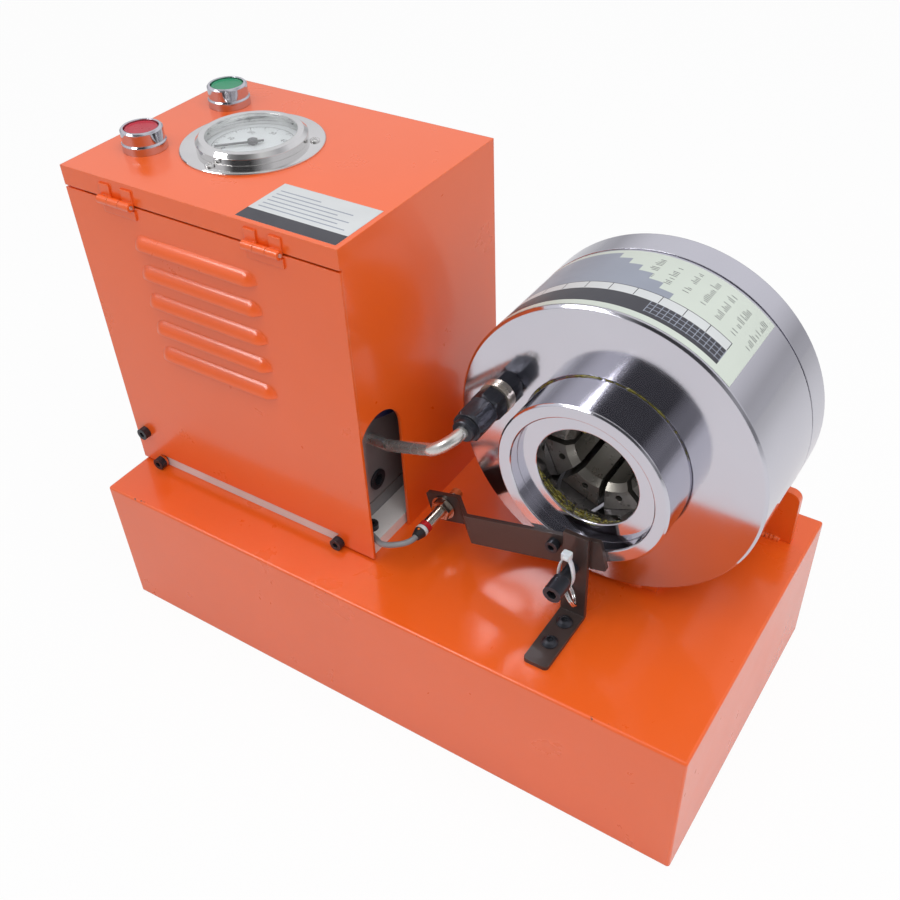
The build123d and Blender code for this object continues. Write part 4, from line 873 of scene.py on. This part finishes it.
def make_top_label():
    """Flat card on the cabinet's top, pale with a dark band along the front and plain ruled lines, without
    words."""
    rows, columns, dark, grey = 44, 72, 1, 2
    x = np.linspace(-89.0, -17.5, columns + 1)[None, :]
    y = np.linspace(cab_low[1] + 3.4, cab_low[1] + 47.5, rows + 1)[:, None]
    points = np.stack([x + 0 * y, y + 0 * x, CAB_TOP + 0.03 + 0 * (x + y)], -1)
    shade = np.zeros((rows, columns), int)
    shade[:11] = dark
    for k, reach in enumerate((66, 58, 63, 52, 60, 34)):
        shade[15 + 4 * k, 4:reach] = grey
    printed_sheet("top_label", points, 0.1, ("label_white", "label_black", "label_blue"), shade)


make_chart_label()
make_top_label()


# ---------------------------------------------------------------- weld beads and grease
def bead(start, end, radius, seed, step=3.0):
    """Weld bead: a tube whose radius swells once every step along it, with tapered ends."""
    rng = np.random.default_rng(seed)
    start, end = np.array(start, float), np.array(end, float)
    length = np.linalg.norm(end - start)
    s = np.linspace(0, 1, max(16, int(length * 3)))
    ripple = 1 + 0.14 * np.abs(np.sin(math.pi * s * length / step)) + rng.normal(0, 0.03, len(s))
    ends = np.sqrt(np.clip(1 - (2 * s - 1) ** 12, 0.02, 1))
    line = start + (end - start) * s[:, None] + rng.normal(0, 0.06, (len(s), 3))
    return along(line, radius * ripple * ends, 12, (0.3, 0.5, 1))


def make_welds():
    """Four short beads that tie the head's cradle to the base."""
    low, high = span("head_cradle")
    foot, behind, before = base_high[2], high[1] + 0.2, low[1] - 0.2
    runs = ((188, 211, high[1] - 6.0, 0.4, 2.6), (60, 92, behind, 0.3, 2.4), (150, 182, behind, 0.3, 2.4),
            (90, 150, before, 0.3, 2.2))
    points, faces = several([bead((x0, y, foot + rise), (x1, y, foot + rise), radius, seed)
                             for seed, (x0, x1, y, rise, radius) in enumerate(runs, 1)])
    keep("weld_beads", points, faces, "orange_paint", "frame", sharp=80)


def smear(radius, y, first, last, size, seed, lean=0.0):
    """Grease line round the head's axis: a tube along an arc whose thickness is a sum of sines, thinning to
    nothing."""
    rng = np.random.default_rng(seed)
    a = np.radians(np.linspace(first, last, 260))
    waves = zip((0.5, 0.35, 0.25, 0.2), (9, 23, 51, 97), rng.uniform(0, 6, 4))
    thick = sum(w * np.sin(n * a + p) for w, n, p in waves)
    ends = np.clip(np.minimum(a - a[0], a[-1] - a) * 4, 0, 1)
    size = size * np.clip(0.35 + thick, 0.03, 1.3) * ends + 0.02
    r = radius + lean * size
    line = np.stack([HEAD_X + r * np.cos(a), y + 0 * a, HEAD_Z + r * np.sin(a)], -1)
    return along(line, size, 8, (0, 1, 0))


def make_grease():
    """Grease lines round the nose, where it runs into the head, and inside the bore of its insert."""
    points, faces = several([smear(NOSE_RADIUS + 0.3, FACE_Y - 0.05, 20, 170, 0.4, 5),
                             smear(NOSE_RADIUS + 0.4, FACE_Y - 0.05, 60, 120, 0.5, 6),
                             smear(NOSE_RADIUS + 0.5, FACE_Y - 0.05, 200, 300, 0.5, 7)])
    keep("nose_grease", points, faces, "grease", "frame", "seal_rubber", sharp=80)
    front, skin = span("nose_insert")[0][1], NOSE_BORE - 0.2
    inside = [smear(skin, front + 1.6 + 1.4 * k, 185 + 7 * k, 318 - 9 * k, 0.75 - 0.08 * k, 20 + k, -0.6)
              for k in range(5)]
    inside += [smear(skin, front + 2.0, 80, 118, 0.7, 31, -0.6),
               smear(NOSE_BORE + 1.0, front - 0.05, 232, 292, 0.4, 32)]
    points, faces = several(inside)
    keep("bore_grease", points, faces, "grease", "piston", "seal_rubber", sharp=80)


make_welds()
make_grease()


# ---------------------------------------------------------------- floor, light and camera
def lamp(name, place, target, size, power, mirrored=False):
    """Soft rectangular lamp that faces a target; a mirrored one only draws highlights in chrome and gloss."""
    light = bpy.data.lights.new(name, "AREA")
    light.shape, light.size, light.size_y, light.energy = "RECTANGLE", size[0], size[1], power
    holder = stand(name, light)
    holder.location = place
    holder.visible_glossy = mirrored
    holder.visible_diffuse = not mirrored
    if mirrored:
        light.cycles.max_bounces = 1
    holder.rotation_euler = (Vector(target) - Vector(place)).to_track_quat("-Z", "Y").to_euler()


def make_floor():
    """Plain pale floor that reads as white and keeps the soft shadow."""
    half = 4.0
    mesh = bpy.data.meshes.new("floor")
    corners = [(-half, -half, 0), (half, -half, 0), (half, half, 0), (-half, half, 0)]
    mesh.from_pydata(corners, [], [(0, 1, 2, 3)])
    floor = stand("floor", mesh)
    material = bpy.data.materials.new("floor")
    material.use_nodes = True
    tree = material.node_tree
    tree.nodes.clear()
    whiteness, mirrored_whiteness = 0.95, 0.22
    ray = put(tree, "LightPath").outputs
    by_eye = maths(tree, "MAXIMUM", ray["Is Camera Ray"], ray["Is Transmission Ray"])
    seen = maths(tree, "MULTIPLY", by_eye, whiteness)
    mirrored = maths(tree, "MULTIPLY", ray["Is Glossy Ray"], mirrored_whiteness)
    plain = put(tree, "BsdfDiffuse", {"Color": (0.86, 0.86, 0.87, 1)}).outputs[0]
    white = put(tree, "Emission", {"Color": (1, 1, 1, 1), "Strength": 1.0}).outputs[0]
    blend = put(tree, "MixShader", (maths(tree, "MAXIMUM", seen, mirrored), plain, white)).outputs[0]
    tree.links.new(blend, tree.nodes.new("ShaderNodeOutputMaterial").inputs[0])
    mesh.materials.append(material)


def make_world():
    """Even pale studio: white to the eye, softer as light, and with dark cards that give the metal its dark
    streaks."""
    world = bpy.data.worlds.new("studio")
    world.use_nodes = True
    tree = world.node_tree
    tree.nodes.clear()
    ray = put(tree, "LightPath").outputs
    way = put(tree, "TexCoord").outputs["Generated"]
    _, _, z = put(tree, "SeparateXYZ", (way,)).outputs
    rise = put(tree, "ValToRGB", (z,))
    ramp = rise.color_ramp
    for place, shade in ((0.0, 0.50), (0.10, 0.42), (0.20, 0.60), (0.34, 0.78), (0.55, 0.84), (0.70, 0.80),
                         (0.82, 0.45), (1.0, 0.45)):
        stop = ramp.elements.new(place) if place not in (0.0, 1.0) else ramp.elements[int(place)]
        stop.color = (shade, shade, shade * 1.04, 1)
    seen = maths(tree, "MAXIMUM", ray["Is Camera Ray"], ray["Is Transmission Ray"])
    dimmed = rise.outputs[0]
    for toward, start, full, depth in (((0.20, -0.755, 0.625), 0.78, 0.93, 0.93),
                                       ((0.80, -0.58, 0.15), 0.88, 0.98, 0.5)):
        level = vector_measure(tree, "DOT_PRODUCT", way, toward)
        dimmed = mixed(tree, ranged(tree, level, start, full, 0.0, depth), dimmed, (0.015, 0.015, 0.017, 1))
    soft = mixed(tree, ray["Is Glossy Ray"], (0.50, 0.50, 0.51, 1), dimmed)
    background = put(tree, "Background", {"Color": mixed(tree, seen, soft, (1, 1, 1, 1)), "Strength": 1.0})
    tree.links.new(background.outputs[0], tree.nodes.new("ShaderNodeOutputWorld").inputs[0])
    bpy.context.scene.world = world


def make_camera():
    """Camera from its place, its direction as azimuth, rise and roll, and its lens."""
    azimuth, rise, roll = (math.radians(v) for v in (34.545, 41.233, -2.636))
    back = Vector((math.sin(azimuth) * math.cos(rise), -math.cos(azimuth) * math.cos(rise), math.sin(rise)))
    right = Vector((0, 0, 1)).cross(back).normalized()
    up = back.cross(right)
    turned = right * math.cos(roll) + up * math.sin(roll)
    lifted = up * math.cos(roll) - right * math.sin(roll)
    camera = bpy.data.cameras.new("camera")
    camera.lens, camera.sensor_width, camera.shift_x, camera.shift_y = 42.90, 36.0, -0.0086, 0.0338
    camera.clip_start, camera.clip_end = 0.01, 50.0
    holder = stand("camera", camera)
    matrix = Matrix((turned, lifted, back)).transposed().to_4x4()
    matrix.translation = (0.3239, -0.4636, 0.6272)
    holder.matrix_world = matrix
    bpy.context.scene.camera = holder


make_floor()
make_world()
make_camera()
lamp("key", (-0.55, -0.75, 1.25), (0.0, 0.0, 0.15), (1.4, 1.1), 1.8)
lamp("fill", (1.3, -0.5, 0.9), (0.0, 0.0, 0.15), (1.3, 1.2), 2.4)
lamp("top", (0.40, -0.22, 1.5), (0.05, 0.0, 0.1), (1.5, 1.2), 11.0)
lamp("glint", (-0.72, -0.86, 1.35), (-0.10, -0.08, 0.25), (0.9, 0.34), 9.0, True)
bpy.context.scene.view_settings.view_transform = "Standard"
